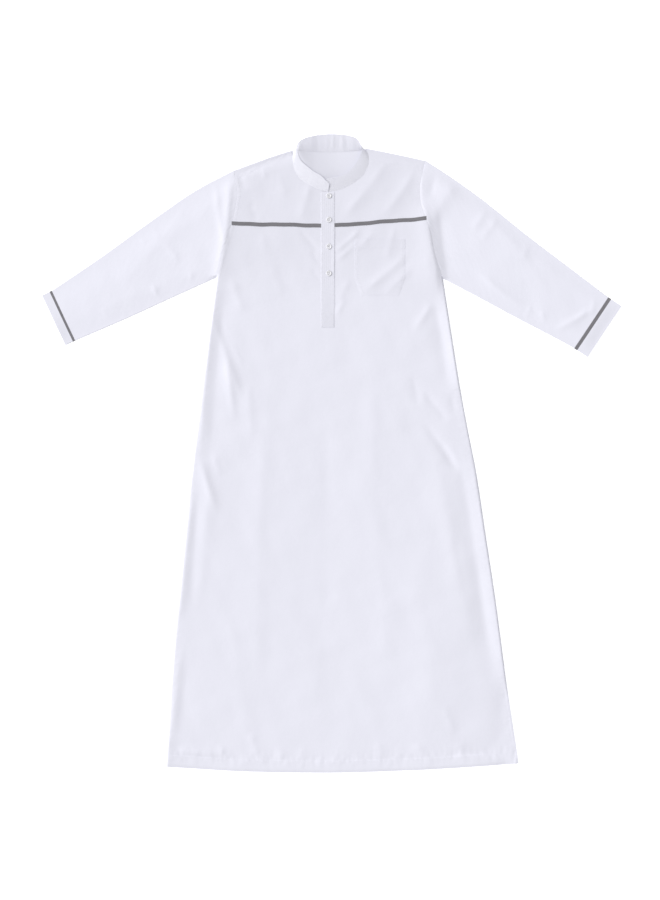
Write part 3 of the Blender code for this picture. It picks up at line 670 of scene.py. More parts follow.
UPPER_CREASES = (
    # The right armhole: the body's edge stands up and the sleeve falls away from it
    Crease(194, 610, 201, 488, -5, 8, 15, 0.9),
    Crease(197, 540, 230, 322, -2, 44, 14, 4.7),
    Crease(224, 548, 252, 336, 0, 13, 34, -2.2),
    Crease(286, 602, 204, 476, -4, 26, 20, 2.2),
    Crease(222, 596, 208, 540, 0, 8, 8, -0.9),
    # Down the right sleeve
    Crease(296, 402, 424, 296, -5, 10, 12, 1.2),
    Crease(356, 506, 316, 452, 2, 8, 7, 0.9),
    Crease(332, 524, 296, 470, 2, 8, 7, 0.8),
    Crease(330, 500, 480, 290, 14, 26, 22, 0.9),
    Crease(552, 308, 466, 258, 3, 7, 9, 1.5),
    Crease(424, 314, 408, 278, 0, 6, 6, 0.9),
    Crease(446, 306, 452, 270, 0, 6, 6, 0.8),
    Crease(420, 450, 404, 410, 0, 7, 7, 0.6),
    Crease(560, 330, 548, 290, 0, 6, 7, 0.8),
    # The left armhole: the sleeve stands up beside the body
    Crease(-213, 612, -242, 356, 6, 17, 9, 2.0),
    Crease(-248, 600, -224, 436, -4, 6, 6, 1.1),
    Crease(-220, 500, -250, 296, -2, 12, 40, 1.6),
    # Down the left sleeve
    Crease(-276, 576, -262, 536, 0, 6, 6, 0.9),
    Crease(-332, 538, -316, 498, 0, 7, 7, 0.8),
    Crease(-386, 496, -364, 450, 0, 8, 7, 0.7),
    Crease(-410, 474, -396, 438, 0, 6, 6, 0.7),
    Crease(-464, 444, -452, 402, 0, 8, 7, 0.6),
    Crease(-356, 450, -320, 404, 0, 8, 8, 0.7),
    Crease(-382, 362, -358, 314, 0, 6, 8, 1.4),
    Crease(-302, 388, -288, 346, 0, 6, 6, 0.9),
    Crease(-486, 312, -466, 272, 0, 9, 8, 0.8),
    Crease(-410, 322, -396, 292, 0, 7, 6, 0.8),
    Crease(-300, 540, -480, 330, 10, 22, 26, 0.7),
    # Across the right of the chest, from the shoulder down to the placket
    Crease(122, 626, 14, 490, 4, 16, 19, 1.5),
    Crease(182, 612, 96, 488, 5, 14, 16, 1.3),
    Crease(64, 478, 4, 426, 2, 5, 6, 1.2),
    Crease(58, 452, 6, 406, 2, 6, 6, 1.0),
    Crease(96, 478, 40, 420, 2, 9, 9, 0.7),
    Crease(136, 486, 116, 410, 0, 10, 10, 0.8),
    Crease(170, 432, 60, 338, 3, 11, 12, 1.5),
    Crease(178, 404, 108, 334, 2, 14, 10, 1.0),
    Crease(40, 372, 12, 316, 0, 9, 8, 0.7),
    Crease(30, 330, 8, 290, 0, 6, 7, 0.9),
    Crease(218, 322, 174, 254, -2, 9, 10, 1.3),
    # Across the left of the chest
    Crease(-42, 580, -68, 490, 0, 13, 14, 1.1),
    Crease(-72, 478, -22, 422, 0, 7, 6, -1.0),
    Crease(-44, 432, -22, 398, 0, 5, 5, -0.7),
    Crease(-42, 394, -22, 364, 0, 5, 5, -0.6),
    Crease(-148, 610, -138, 580, 0, 5, 5, 0.7),
    Crease(-198, 600, -182, 556, 0, 8, 8, -0.9),
    Crease(-174, 534, -156, 492, 0, 9, 9, -0.7),
    Crease(-112, 596, -96, 540, 0, 12, 12, 0.6),
    Crease(-150, 470, -136, 420, 0, 10, 12, 0.6),
    Crease(-214, 374, -186, 296, 0, 15, 14, 1.2),
    Crease(-130, 400, -100, 330, 0, 14, 12, 0.5),
    # Down the left side
    Crease(-240, 400, -284, -60, -3, 5, 15, 1.7),
    Crease(-222, 380, -258, -40, -3, 14, 26, -1.2),
    Crease(-254, 302, -184, 106, -2, 17, 9, 1.9),
    Crease(-224, 218, -204, 62, 0, 12, 8, 1.7),
    Crease(-178, 154, -168, 24, 0, 17, 14, 1.0),
    Crease(-214, 240, -186, 182, 0, 4, 4, 0.6),
    Crease(-282, 0, -240, -136, 0, 13, 10, 2.2),
    Crease(-250, 0, -236, -48, 0, 5, 5, 0.8),
    Crease(-289, -46, -325, -388, -1, 7, 13, 1.5),
    Crease(-280, -50, -302, -360, -1, 9, 14, -0.8),
    Crease(-258, -56, -282, -340, 0, 18, 24, 1.3),
    Crease(-318, -392, -345, -640, 0, 6, 18, 1.1),
    Crease(-306, -400, -326, -650, 0, 12, 20, -0.9),
    Crease(-354, -592, -349, -696, 0, 4, 20, 2.4),
    # Down the right side
    Crease(232, 362, 276, 96, 3, 15, 8, 2.2),
    Crease(214, 350, 250, 110, 3, 20, 13, -1.4),
    Crease(194, 132, 248, 66, 0, 8, 10, -1.4),
    Crease(194, 66, 270, -44, 3, 11, 8, -2.0),
    Crease(230, 26, 258, -30, 2, 4, 4, -0.9),
    Crease(240, 14, 268, -42, 2, 4, 4, -0.8),
    Crease(172, 168, 186, 96, 0, 9, 9, -0.8),
    Crease(252, 128, 264, 80, 0, 8, 8, -0.8),
    Crease(285, 50, 377, -560, 6, 14, 6, 1.4),
    Crease(262, 40, 348, -520, 4, 26, 13, -2.1),
    Crease(212, 20, 304, -440, 4, 40, 30, 2.0),
    Crease(258, -160, 290, -320, 0, 14, 12, -0.9),
    # Long soft rolls of the skirt
    Crease(-120, 220, -150, -560, -18, 34, 26, 0.9),
    Crease(-20, 200, -30, -600, 16, 30, 36, -0.8),
    Crease(90, 240, 140, -560, -20, 38, 30, 1.0),
    Crease(176, -180, 236, -640, 0, 70, 90, 2.6),
    Crease(-230, -320, -180, -640, 10, 26, 20, 0.5),
    Crease(30, -260, -40, -560, -14, 30, 24, 0.5),
    Crease(236, -530, 262, -600, 0, 9, 10, 0.9),
    # Along the hem
    Crease(250, -632, 440, -648, 0, 5, 40, -2.0),
    Crease(362, -440, 398, -770, 0, 46, 8, -3.0),
    Crease(-352, -628, -226, -640, 0, 6, 10, 1.8),
    Crease(-236, -618, -222, -650, 0, 9, 4, 1.5),
    Crease(-172, -590, -156, -646, 0, 9, 8, 1.0),
    Crease(-112, -620, -104, -650, 0, 7, 7, 0.8),
    Crease(-66, -622, -58, -652, 0, 6, 8, 0.8),
    Crease(96, -612, 106, -648, 0, 6, 8, 1.0),
    Crease(140, -616, 152, -650, 0, 8, 7, 0.7),
    Crease(180, -612, 192, -650, 0, 7, 8, 0.9),
    Crease(268, -612, 282, -648, 0, 8, 8, 0.9),
)


def past_point(x, y, place):
    return np.hypot(x - place[0], y - place[1])


def off_edges(x, y):
    """Distance in from each side seam and each fold over a shoulder, and the width of the roll there."""
    edges = []
    for side, inward in (("left", 1), ("right", -1)):
        seam = inward * (x - side_x(side, y))
        corner = past_point(x, y, (float(side_x(side, UNDERARM)), UNDERARM))
        edges.append((np.where(y < UNDERARM, seam, corner), SIDE_ROLL[side]))
        folds = sorted((p.fold_x, p.fold_y) for p in YOKE[side])
        fold_y = smooth_at([p[0] for p in folds], [p[1] for p in folds], x)
        neck = YOKE[side][0]
        outside_neck = inward * (neck.fold_x - x) > 0
        fold = np.where(outside_neck, fold_y - y, past_point(x, y, (neck.fold_x, neck.fold_y)))
        edges.append((fold, TOP_ROLL))
    return edges


armhole_lines = {}
for side in ("left", "right"):
    heights = np.linspace(UNDERARM, SHOULDER_TIP[side][1], 40)
    armhole_lines[side] = list(zip(armhole_x(side, heights), heights))
yoke_seams = {side: [(p.seam_x, p.seam_y) for p in YOKE[side]] for side in YOKE}


def from_seams(x, y):
    """Distance from the nearest armhole or yoke seam of the front."""
    lines = list(armhole_lines.values()) + list(yoke_seams.values())
    return np.minimum.reduce([off_line(x, y, line) for line in lines])


def upper_level(x, y):
    """Height at which the upper layer would lie with no edge near, with its creases."""
    return FRONT_LEVEL + creased(x, y, UPPER_CREASES) + FRONT_SLACK * slack(x, y, seed=11)


def seam_groove(x, y):
    """Depth pressed in along the armholes, and less along the yoke's seams."""
    armholes, yokes = (np.minimum(*[off_line(x, y, line) for line in lines.values()])
                       for lines in (armhole_lines, yoke_seams))
    return sum(depth * close_to(off, SEAM_WIDTH)
               for depth, off in ((ARMHOLE_DIP, armholes), (YOKE_DIP, yokes)))


def front_z(x, y):
    """Middle of the front layer's wall."""
    share = np.minimum.reduce([ease(off / roll) for off, roll in off_edges(x, y)])
    loft = upper_level(x, y) - FRONT_EDGE
    dip = seam_groove(x, y)
    z = np.minimum(FRONT_EDGE + share * loft, FRONT_MOST) - dip
    z = z + HEM_STEP * ease((hem_y(x) + HEM_BAND + HEM_STEP_WIDTH / 2 - y) / HEM_STEP_WIDTH)
    z = z - HEM_DROP * (1 - ease((y - hem_y(x)) / HEM_ROLL))
    return np.maximum(z, back_z(x, y) + CLOTH + LAYER_GAP)


def half_front(side):
    """Plan of one half of the front, from the slot out to the side seam and the armhole."""
    slot = {"left": SLOT_LEFT, "right": SLOT_RIGHT}[side]
    neck_columns = 26
    seam_columns = 34
    columns = neck_columns + seam_columns
    rows = []
    for y in np.concatenate([body_heights, np.linspace(SLOT_LOW, UNDERARM, 16)[1:]]):
        edge = side_x(side, y)
        x = slot + (edge - slot) * across_shares(columns + 1, abs(edge - slot), False, True)
        rows.append(np.stack([x, with_hem_curve(x, y)], axis=-1))
    low = rows[-1]
    yoke_line = smooth_path(yoke_seams[side], across_shares(seam_columns + 1, SHOULDER_LENGTH, False, True))
    neck = smooth_path(NECK_LINE[side], np.linspace(0, 1, neck_columns + 1))
    top = np.concatenate([neck, yoke_line[1:] - (0, SEAM_CLEAR)])
    for v in across_shares(48, ARMHOLE_HEIGHT, False, True)[1:]:
        row = low + (top - low) * v
        bow = armhole_x(side, row[-1, 1]) - row[-1, 0]
        row[:, 0] += bow * np.linspace(0, 1, columns + 1) ** 3
        rows.append(row)
    return np.array(rows)


def chest_painted_shade(y):
    """Painted shade: the cloth is a little deeper in tone over the chest, where less light falls."""
    return -CHEST_PAINTED_SHADE * ease((y - 300) / 150)


left_half = half_front("left")
right_half = half_front("right")
middle_shares = (np.arange(1, 4) / 4)[None, :, None]
middle = left_half[:, :1] + (right_half[:, :1] - left_half[:, :1]) * middle_shares
front_plan = np.concatenate([left_half[:, ::-1], middle, right_half], axis=1)
front_x, front_y = front_plan[..., 0], front_plan[..., 1]
front_edge_off = np.minimum.reduce([off for off, roll in off_edges(front_x, front_y)])
front_seam_off = np.minimum(from_seams(front_x, front_y), np.abs(front_edge_off - EDGE_PUCKERS))
front_keep = np.ones((front_plan.shape[0] - 1, front_plan.shape[1] - 1), bool)
slot_row = len(body_heights) - 1
slot_column = left_half.shape[1] - 1
front_keep[slot_row:, slot_column:slot_column + 4] = False
# The front carries the painted shade over the chest.
front = cloth_piece(
    "front_panel",
    np.stack([front_x, front_y, front_z(front_x, front_y)], axis=-1),
    front_plan,
    white_cloth,
    keep=front_keep,
    near_hem=close_to(off_line(front_x, front_y, hem_line), HEM_PUCKERS["front"]),
    near_seam=close_to(front_seam_off, PUCKER_REACH),
    painted_light_and_shade=chest_painted_shade(front_y),
)
dress(front, "front_body")


def on_front(places, lift):
    """Places on the front layer's face, with a lift above it."""
    places = np.asarray(places, float)
    x, y = places[:, 0], places[:, 1]
    return np.stack([x, y, front_z(x, y) + CLOTH / 2 + lift], axis=-1)


def inset(line, gap, inward):
    """A line moved sideways by gap towards a place."""
    line = np.asarray(line, float)
    run = np.gradient(line, axis=0)
    side = np.stack([-run[:, 1], run[:, 0]], axis=-1) / np.linalg.norm(run, axis=1)[:, None]
    middle_of_line = line[len(line) // 2]
    if np.dot(side[len(line) // 2], np.asarray(inward) - middle_of_line) < 0:
        side = -side
    return line + side * gap


hem_x = np.linspace(-348, 391, 150)
hem_top = hem_y(hem_x) + HEM_BAND
front_seams = [on_front(np.stack([hem_x, hem_top - HEM_STITCH], axis=-1), ON_FACE)]
for side in ("left", "right"):
    front_seams.append(on_front(inset(armhole_lines[side], ARMHOLE_STITCH, (0, 480)), ON_FACE))
    seam = smooth_path(yoke_seams[side], np.linspace(0.03, 0.98, 40))
    front_seams.append(on_front(inset(seam, YOKE_STITCH, (0, 900)), ON_FACE))
sew("front_stitching", front_seams, thick=FINE_THREAD)
back_seam = np.stack([hem_x, hem_top - HEM_STITCH, back_z(hem_x, hem_top) - CLOTH / 2], axis=-1)
sew("back_stitching", [back_seam], thick=FINE_THREAD)


# Yoke
# One piece of the same cloth over the shoulders. It carries the back of the neck, folds forward over
# both shoulders and is sewn to the front a little below the folds.
FOLD_RADIUS = 0.85
FOLD_STEPS = 8
FOLD_TOP = BACK_MIDDLE + 2 * FOLD_RADIUS
YOKE_ROWS = 22
FOLD_COLUMNS = 30
NECK_COLUMNS = 40
NECK_DEEPER = 0.36
BACK_NECK = ((-76, 642), (-61, 641.5), (-41, 640.5), (-14, 640), (14, 640), (39.5, 641), (57.5, 643),
             (68, 645.5))
# The yoke stands up against the inside of the collar: a high fold at the left, a low one at the right
NECK_RISE = (
    Crease(-100, 700, 10, 540, -14, 12, 34, 6.8),
    Crease(40, 700, 20, 570, 4, 60, 40, 0.9),
)


def neck_rise(x, y):
    """Height that the yoke rises inside the neck, the most towards the left of the collar."""
    return creased(x, y, NECK_RISE) * ease((x + 80) / 9) * ease((66 - x) / 10) * ease((y - 556) / 30)


def neck_deeper(x, y):
    """Tone of the yoke inside the neck, where the collar shades it: deepest towards the left."""
    return -NECK_DEEPER * ease((x + 105) / 30) * (1 - ease((x + 25) / 80)) * ease((y - 562) / 24)


fold_shares = across_shares(FOLD_COLUMNS + 1, SHOULDER_LENGTH, False, True)
yoke_points = {side: smooth_path(YOKE[side], fold_shares) for side in YOKE}
neck_edge = smooth_path(BACK_NECK, np.linspace(0, 1, NECK_COLUMNS + 1))
folded_top = np.concatenate([yoke_points["left"][::-1, :2], neck_edge, yoke_points["right"][:, :2]])
is_fold = np.ones(len(folded_top), bool)
is_fold[FOLD_COLUMNS + 1:FOLD_COLUMNS + 2 + NECK_COLUMNS] = False
folded_top[is_fold, 1] -= FOLD_RADIUS
seam_shares = np.linspace(0, 1, len(folded_top))[:, None]
seam_start, seam_end = [np.array((float(armhole_x(side, y)), y + SEAM_CLEAR))
                        for side, y in BACK_SEAM.items()]
yoke_bottom = seam_start + (seam_end - seam_start) * seam_shares
yoke_rows = []
for v in np.linspace(0, 1, YOKE_ROWS):
    row = yoke_bottom + (folded_top - yoke_bottom) * v
    for end, side in ((0, "left"), (-1, "right")):
        weight = (1 - seam_shares[:, 0]) ** 8 if end == 0 else seam_shares[:, 0] ** 8
        row[:, 0] += (armhole_x(side, row[end, 1]) - row[end, 0]) * weight * (1 - v ** 6)
    yoke_rows.append(row)
yoke_plan = np.array(yoke_rows)
yoke_back_z = back_z(yoke_plan[..., 0], yoke_plan[..., 1])
settle = np.linspace(0, 1, YOKE_ROWS)[:, None] ** 2
yoke_back_z = yoke_back_z + (BACK_MIDDLE - yoke_back_z) * settle
yoke_back_z = yoke_back_z + neck_rise(yoke_plan[..., 0], yoke_plan[..., 1])
yoke_back = np.concatenate([yoke_plan, yoke_back_z[..., None]], axis=-1)


def shoulder_flap(side):
    """The yoke's turn over one shoulder, from the fold on the table to the seam on the front."""
    points = yoke_points[side]
    rows = []
    for angle in np.linspace(-pi / 2, pi / 2, FOLD_STEPS + 1):
        out = FOLD_RADIUS * (cos(angle) - 1)
        z = np.full(len(points), BACK_MIDDLE + FOLD_RADIUS * (1 + sin(angle)))
        rows.append(np.stack([points[:, 0], points[:, 1] + out, z], axis=-1))
    for v in np.linspace(0, 1, 12)[1:]:
        x = points[:, 0] + (points[:, 2] - points[:, 0]) * v
        y = points[:, 1] - FOLD_RADIUS + (points[:, 3] - SEAM_LAP - points[:, 1] + FOLD_RADIUS) * v
        z = FOLD_TOP + (front_z(x, y) + 0.05 - FOLD_TOP) * ease(v * 1.2)
        rows.append(np.stack([x, y, z], axis=-1))
    return np.array(rows)


def joined_pieces(name, parts, replaced):
    """Cloth pieces of one cut joined into one object, their shared edges merged."""
    bm = bmesh.new()
    for part in parts:
        bm.from_mesh(part.data)
        bpy.data.objects.remove(part, do_unlink=True)
    bmesh.ops.remove_doubles(bm, verts=bm.verts, dist=0.03 * MM)
    bmesh.ops.recalc_face_normals(bm, faces=bm.faces)
    mesh = bpy.data.meshes.new(name)
    bm.to_mesh(mesh)
    bm.free()
    mesh.materials.append(white_cloth)
    mesh.shade_smooth()
    made = in_scene(name, mesh)
    thicken(made, CLOTH)
    dress(made, replaced)
    return made


inside_neck = neck_deeper(yoke_plan[..., 0], yoke_plan[..., 1])
yoke_parts = [cloth_piece("yoke back", yoke_back, yoke_plan, white_cloth, near_seam=0 * inside_neck,
                          painted_light_and_shade=inside_neck)]
for side in ("left", "right"):
    flap = shoulder_flap(side)
    flap_cut = flap[..., :2].copy()
    flap_cut[..., 1] = 2 * yoke_points[side][None, :, 1] - flap[..., 1]
    near = close_to(from_seams(flap[..., 0], flap[..., 1]), PUCKER_REACH)
    # The flaps carry the chest's painted shade.
    yoke_parts.append(cloth_piece("yoke flap " + side, flap, flap_cut, white_cloth, near_seam=near,
                                  painted_light_and_shade=chest_painted_shade(flap[..., 1])))
yoke = joined_pieces("yoke_over_shoulders", yoke_parts, "yoke")


# Sleeves
# Two long tapered sleeves, each cut in one piece, folded along the top of the arm and closed by a
# seam along its lower edge, then set into the armhole.
SLEEVE_TOP = {
    "left": ((-208, 599.5), (-279, 562.5), (-385, 490.5), (-491, 414), (-558, 368.5), (-593, 345)),
    "right": ((200.5, 620), (246, 590.5), (315, 541.5), (410, 465.5), (516, 385), (587, 331)),
}
SLEEVE_BOTTOM = {
    "left": ((-244.5, 373), (-332, 333.5), (-438, 285), (-543.5, 239.5)),
    "right": ((236.5, 371), (315, 329.5), (410, 278.5), (463, 251), (515, 223)),
}
SLEEVE_CLEAR = 0.4
TUBE_EDGE = 12.0
# Painted light: the sleeves are painted paler, the left one, nearer the light, the most
SLEEVE_PAINTED_LIGHT = {"left": 0.16, "right": 0.1}


def tube_shares(width):
    return across_shares(52, width, True, True, close=(2.2, 2.4, 2.8, 3.2, 3.8))


def flat_tube(plan, low_radius, high_radius, lift, low_roll, high_roll):
    """A flattened tube over plan rows that run from its lower to its upper long edge.

    It folds at each edge over a radius there, and rises in from it over a roll. lift is added to its
    upper layer.
    """
    low = plan[:, :1]
    high = plan[:, -1:]
    across = (high - low) / np.linalg.norm(high - low, axis=-1, keepdims=True)
    low_radius = np.asarray(low_radius, float).reshape(-1, 1)
    high_radius = np.asarray(high_radius, float).reshape(-1, 1)
    flat = plan.copy()
    flat[:, :1] = low + across * low_radius[..., None]
    flat[:, -1:] = high - across * high_radius[..., None]
    x, y = flat[..., 0], flat[..., 1]
    from_low = np.linalg.norm(flat - flat[:, :1], axis=-1)
    from_high = np.linalg.norm(flat - flat[:, -1:], axis=-1)
    from_edge = np.minimum(from_low, from_high)
    under = BACK_MIDDLE + (back_z(x, y) - BACK_MIDDLE) * ease(from_edge / TUBE_EDGE)
    shares = from_low / from_low[:, -1:]
    edge_z = BACK_MIDDLE + 2 * (low_radius * (1 - shares) + high_radius * shares)
    loft = upper_level(x, y) - edge_z + lift
    share = np.minimum(ease(from_low / low_roll), ease(from_high / high_roll))
    upper = np.minimum(edge_z + share * loft, FRONT_MOST + lift)
    upper -= seam_groove(x, y) * ease(from_edge / TUBE_EDGE)
    upper = np.maximum(upper, np.minimum(edge_z, under + CLOTH + LAYER_GAP))

    grid = [np.concatenate([flat, under[..., None]], axis=-1)]
    angles = np.linspace(-pi / 2, pi / 2, FOLD_STEPS + 1)[1:-1]
    for middle_place, radius, outward in ((high, high_radius, 1), (low, low_radius, -1)):
        arc = []
        for angle in angles if outward == 1 else angles[::-1]:
            place = middle_place + outward * across * radius[..., None] * (cos(angle) - 1)
            z = BACK_MIDDLE + radius * (1 + sin(angle))
            arc.append(np.concatenate([place, z[..., None]], axis=-1))
        grid.append(np.concatenate(arc, axis=1))
        if outward == 1:
            grid.append(np.concatenate([flat, upper[..., None]], axis=-1)[:, ::-1])
    return np.concatenate(grid, axis=1)


def tube_cut(places, along):
    """Where a tube's points lie on its flat cut: along its length, and round it."""
    rounds = np.concatenate([places, places[:, :1]], axis=1)
    steps = np.linalg.norm(np.diff(rounds, axis=1), axis=-1)
    walked = np.concatenate([np.zeros((len(places), 1)), np.cumsum(steps, axis=1)], axis=1)
    return np.stack([np.broadcast_to(along[:, None], walked.shape), walked], axis=-1)


def sleeve_plan(side):
    """Plan rows of a sleeve from the armhole to the tape, and how far along it each row is."""
    steps = across_shares(104, 500, True, True, close=(1.6, 1.8, 2.2, 2.8, 3.4))
    lows = smooth_path(SLEEVE_BOTTOM[side], steps)
    highs = smooth_path(SLEEVE_TOP[side], steps)
    inward = SEAM_LAP if side == "left" else -SEAM_LAP
    seam = np.array(armhole_lines[side]) + (inward, 0)
    lows[0], highs[0] = seam[0] + (0, SLEEVE_CLEAR), seam[-1]
    run = highs[0] - lows[0]
    shares = tube_shares(np.linalg.norm(run))
    on_run = ((seam - lows[0]) @ run) / (run @ run)
    bows = seam - (lows[0] + run * on_run[:, None])
    bow = np.stack([np.interp(shares, on_run, bows[:, axis]) for axis in range(2)], axis=-1)
    near = ((1 - steps) ** 4)[:, None, None]
    plan = lows[:, None] + (highs - lows)[:, None] * shares[None, :, None] + bow[None] * near
    middles = plan[:, plan.shape[1] // 2]
    along = np.concatenate([[0], np.cumsum(np.linalg.norm(np.diff(middles, axis=0), axis=1))])
    return plan, along


sleeve_plans = {}
for side in ("left", "right"):
    plan, along = sleeve_plan(side)
    sleeve_plans[side] = plan
    side_radius = (FRONT_EDGE - BACK_MIDDLE) / 2
    low_radius = side_radius + (FOLD_RADIUS - side_radius) * ease(along / 40)
    low_roll = SIDE_ROLL[side] + (LOW_ROLL - SIDE_ROLL[side]) * ease(along / 70)
    high_roll = TOP_ROLL + (SLEEVE_TOP_ROLL[side] - TOP_ROLL) * ease(along / 90)
    places = flat_tube(plan, low_radius, np.full(len(plan), FOLD_RADIUS), 0.0, low_roll[:, None],
                       high_roll[:, None])
    near = close_to(from_seams(places[..., 0], places[..., 1]), PUCKER_REACH)
    sleeve = cloth_piece("sleeve_cloth_" + side, places, tube_cut(places, along), white_cloth, closed=True,
                         near_seam=near, painted_light_and_shade=SLEEVE_PAINTED_LIGHT[side] * np.ones(places.shape[:2]))
    dress(sleeve, "sleeve_" + side)


# Tape and end of each sleeve
# A grey ribbed tape goes all round the sleeve near its end, and past it the sleeve ends in a short
# turned hem. The left one is narrower, as it lies turned a little under.
SEAM_GAP = 0.05
TAPE_THICK = 0.9
TAPE_RISE = 0.15
TAPE_RINGS = 5
TAPE_THREADS = 0.0006
TAPE_RIB = 0.0012
CUFF_RINGS = 12
CUFF_TAPE = {"left": 5.0, "right": 7.2}
CUFF = {"left": 18.0, "right": 26.5}
CUFF_LIFT = {"left": 0.6, "right": -1.9}
TAPE_COLOUR = (0.178, 0.173, 0.188)


def ribbed_tape(name, colour):
    """Grey woven tape: fine ribs across it, and threads and patches of uneven tone."""
    look, shader = new_look(name, Sheen_Weight=0.25, Specular_IOR_Level=0.3)
    tree = look.node_tree
    place, threads = threads_at(tree, TAPE_THREADS)
    split = tree.nodes.new("ShaderNodeSeparateXYZ")
    tree.links.new(place, split.inputs[0])
    turns = shader_math(tree, "MULTIPLY", split.outputs["X"], 2 * pi / TAPE_RIB)
    ribs = shader_math(tree, "SINE", turns)
    patchy = shader_noise(tree, place, (38, 160, 1), 3)
    tone = shader_math(tree, "ADD", shader_math(tree, "MULTIPLY", patchy, 0.7),
                       shader_math(tree, "MULTIPLY", threads.outputs["Thread tone"], 0.3))
    shade_by(tree, shader, tone, colour, 0.66, 1.38)
    rough_by(tree, shader, patchy, 0.2, 0.6)
    height = shader_math(tree, "ADD", shader_math(tree, "MULTIPLY", ribs, 0.06),
                         shader_math(tree, "MULTIPLY", threads.outputs["Height"], 0.03))
    raise_by(tree, shader, height)
    return look


grey_tape = ribbed_tape("grey tape", TAPE_COLOUR)


def band_plan(side, start, end, rings):
    """Plan rows of a band at the sleeve's end, from start to end past the sleeve."""
    row = sleeve_plans[side][-1]
    run = (row[-1] - row[0]) / np.linalg.norm(row[-1] - row[0])
    outward = np.array((run[1], -run[0])) * (1 if side == "right" else -1)
    return row[None] + outward * np.linspace(start, end, rings)[:, None, None]


for side in ("left", "right"):
    tape_start = SEAM_GAP
    tape_end = tape_start + CUFF_TAPE[side]
    cuff_start = tape_end + SEAM_GAP
    cuff_end = cuff_start + CUFF[side]
    plan = band_plan(side, tape_start, tape_end, TAPE_RINGS)
    radius = np.full(TAPE_RINGS, FOLD_RADIUS)
    places = flat_tube(plan, radius, radius, 0.0, LOW_ROLL, SLEEVE_TOP_ROLL[side])
    places[..., 2] += np.where(places[..., 2] > BACK_MIDDLE + 1.4, TAPE_RISE, 0)
    cut = tube_cut(places, np.linspace(tape_start, tape_end, TAPE_RINGS))
    tape = cloth_piece("cuff_tape_cloth_" + side, places, cut[..., ::-1], grey_tape, thick=TAPE_THICK,
                       closed=True)
    dress(tape, "cuff_tape_" + side)

    plan = band_plan(side, cuff_start, cuff_end, CUFF_RINGS)
    opens = CUFF_LIFT[side] * ease(np.linspace(0, 1, CUFF_RINGS))[:, None]
    radius = np.full(CUFF_RINGS, FOLD_RADIUS)
    places = flat_tube(plan, radius, radius, opens, LOW_ROLL, SLEEVE_TOP_ROLL[side])
    cut = tube_cut(places, np.linspace(cuff_start, cuff_end, CUFF_RINGS))
    cuff = cloth_piece("cuff_cloth_" + side, places, cut, white_cloth, closed=True)
    dress(cuff, "cuff_" + side)


# Collar
# A standing band of doubled cloth over a stiff lining, sewn round the neck. It leans back behind,
# and in front its left end laps over its right end.
COLLAR_THICK = 0.75
COLLAR_BULGE = 0.8
COLLAR_LAP = 0.55
COLLAR_SEAT = -0.2
COLLAR_UNDER = 0.06
COLLAR_HEIGHT = 36
COLLAR_PAINTED_SHADE = 0.97
LAP_PAINTED_LIGHT = 0.42
BESIDE_NECK_PAINTED_SHADE = 0.4
# Where the collar's seam and its free edge run, from the end that laps over to the end under it
Stand = namedtuple("Stand", "seam_x seam_y seam_z edge_x edge_y edge_z")
COLLAR = (
    Stand(-7, 555, 6.6, -4, 571, 6.7),
    Stand(-20, 558, 6.3, -12, 578, 7.5),
    Stand(-33, 563.5, 5.2, -19, 585.5, 8.2),
    Stand(-54, 574.5, 4.1, -39, 598, 8.6),
    Stand(-68.5, 585.5, 3.8, -53.5, 609.5, 8.6),
    Stand(-77, 600, 3.6, -63, 618.5, 8.2),
    Stand(-81.5, 618, 3.2, -69.5, 631.5, 8.0),
    Stand(-82, 634, 3.0, -72, 644.5, 8.0),
    Stand(-76, 641.5, 1.6, -71.5, 656, 8.6),
    Stand(-61, 640.5, 0.5, -61, 665, 9.8),
    Stand(-41, 639.3, 0.45, -42, 671, 10.5),
    Stand(-14, 638.8, 0.45, -14.5, 675, 11),
    Stand(14, 638.8, 0.45, 14, 675, 11),
    Stand(39.5, 639.8, 0.45, 37, 672, 10.4),
    Stand(57.5, 642, 0.6, 53.5, 666, 9.5),
    Stand(68, 644.8, 1.6, 61.5, 654, 7.4),
    Stand(75, 638.5, 2.6, 64, 642.5, 6.6),
    Stand(78.5, 626, 3.5, 61, 633, 6.2),
    Stand(76.5, 610.5, 3.7, 55.5, 620.5, 6.0),
    Stand(68, 593, 3.8, 45.5, 607, 5.9),
    Stand(53, 578.5, 3.9, 33.5, 594, 5.9),
    Stand(33, 566.5, 4.0, 20, 588, 5.9),
    Stand(10, 558, 4.2, 5.5, 585, 5.9),
    Stand(-11, 556, 4.3, -9, 582.5, 5.8),
    Stand(-20, 556, 4.3, -18, 580, 5.7),
)
# Soft upright creases at the back of the collar
Ripple = namedtuple("Ripple", "x width height")
COLLAR_RIPPLES = (
    Ripple(-41, 5, 0.5),
    Ripple(-28, 4, -0.5),
    Ripple(-9, 4, 0.5),
    Ripple(3, 3.5, 0.7),
    Ripple(9, 3, -0.5),
    Ripple(16, 3, -0.7),
    Ripple(24, 3, 0.5),
    Ripple(33, 4, -0.5),
    Ripple(-60, 6, -0.4),
    Ripple(48, 5, 0.4),
)

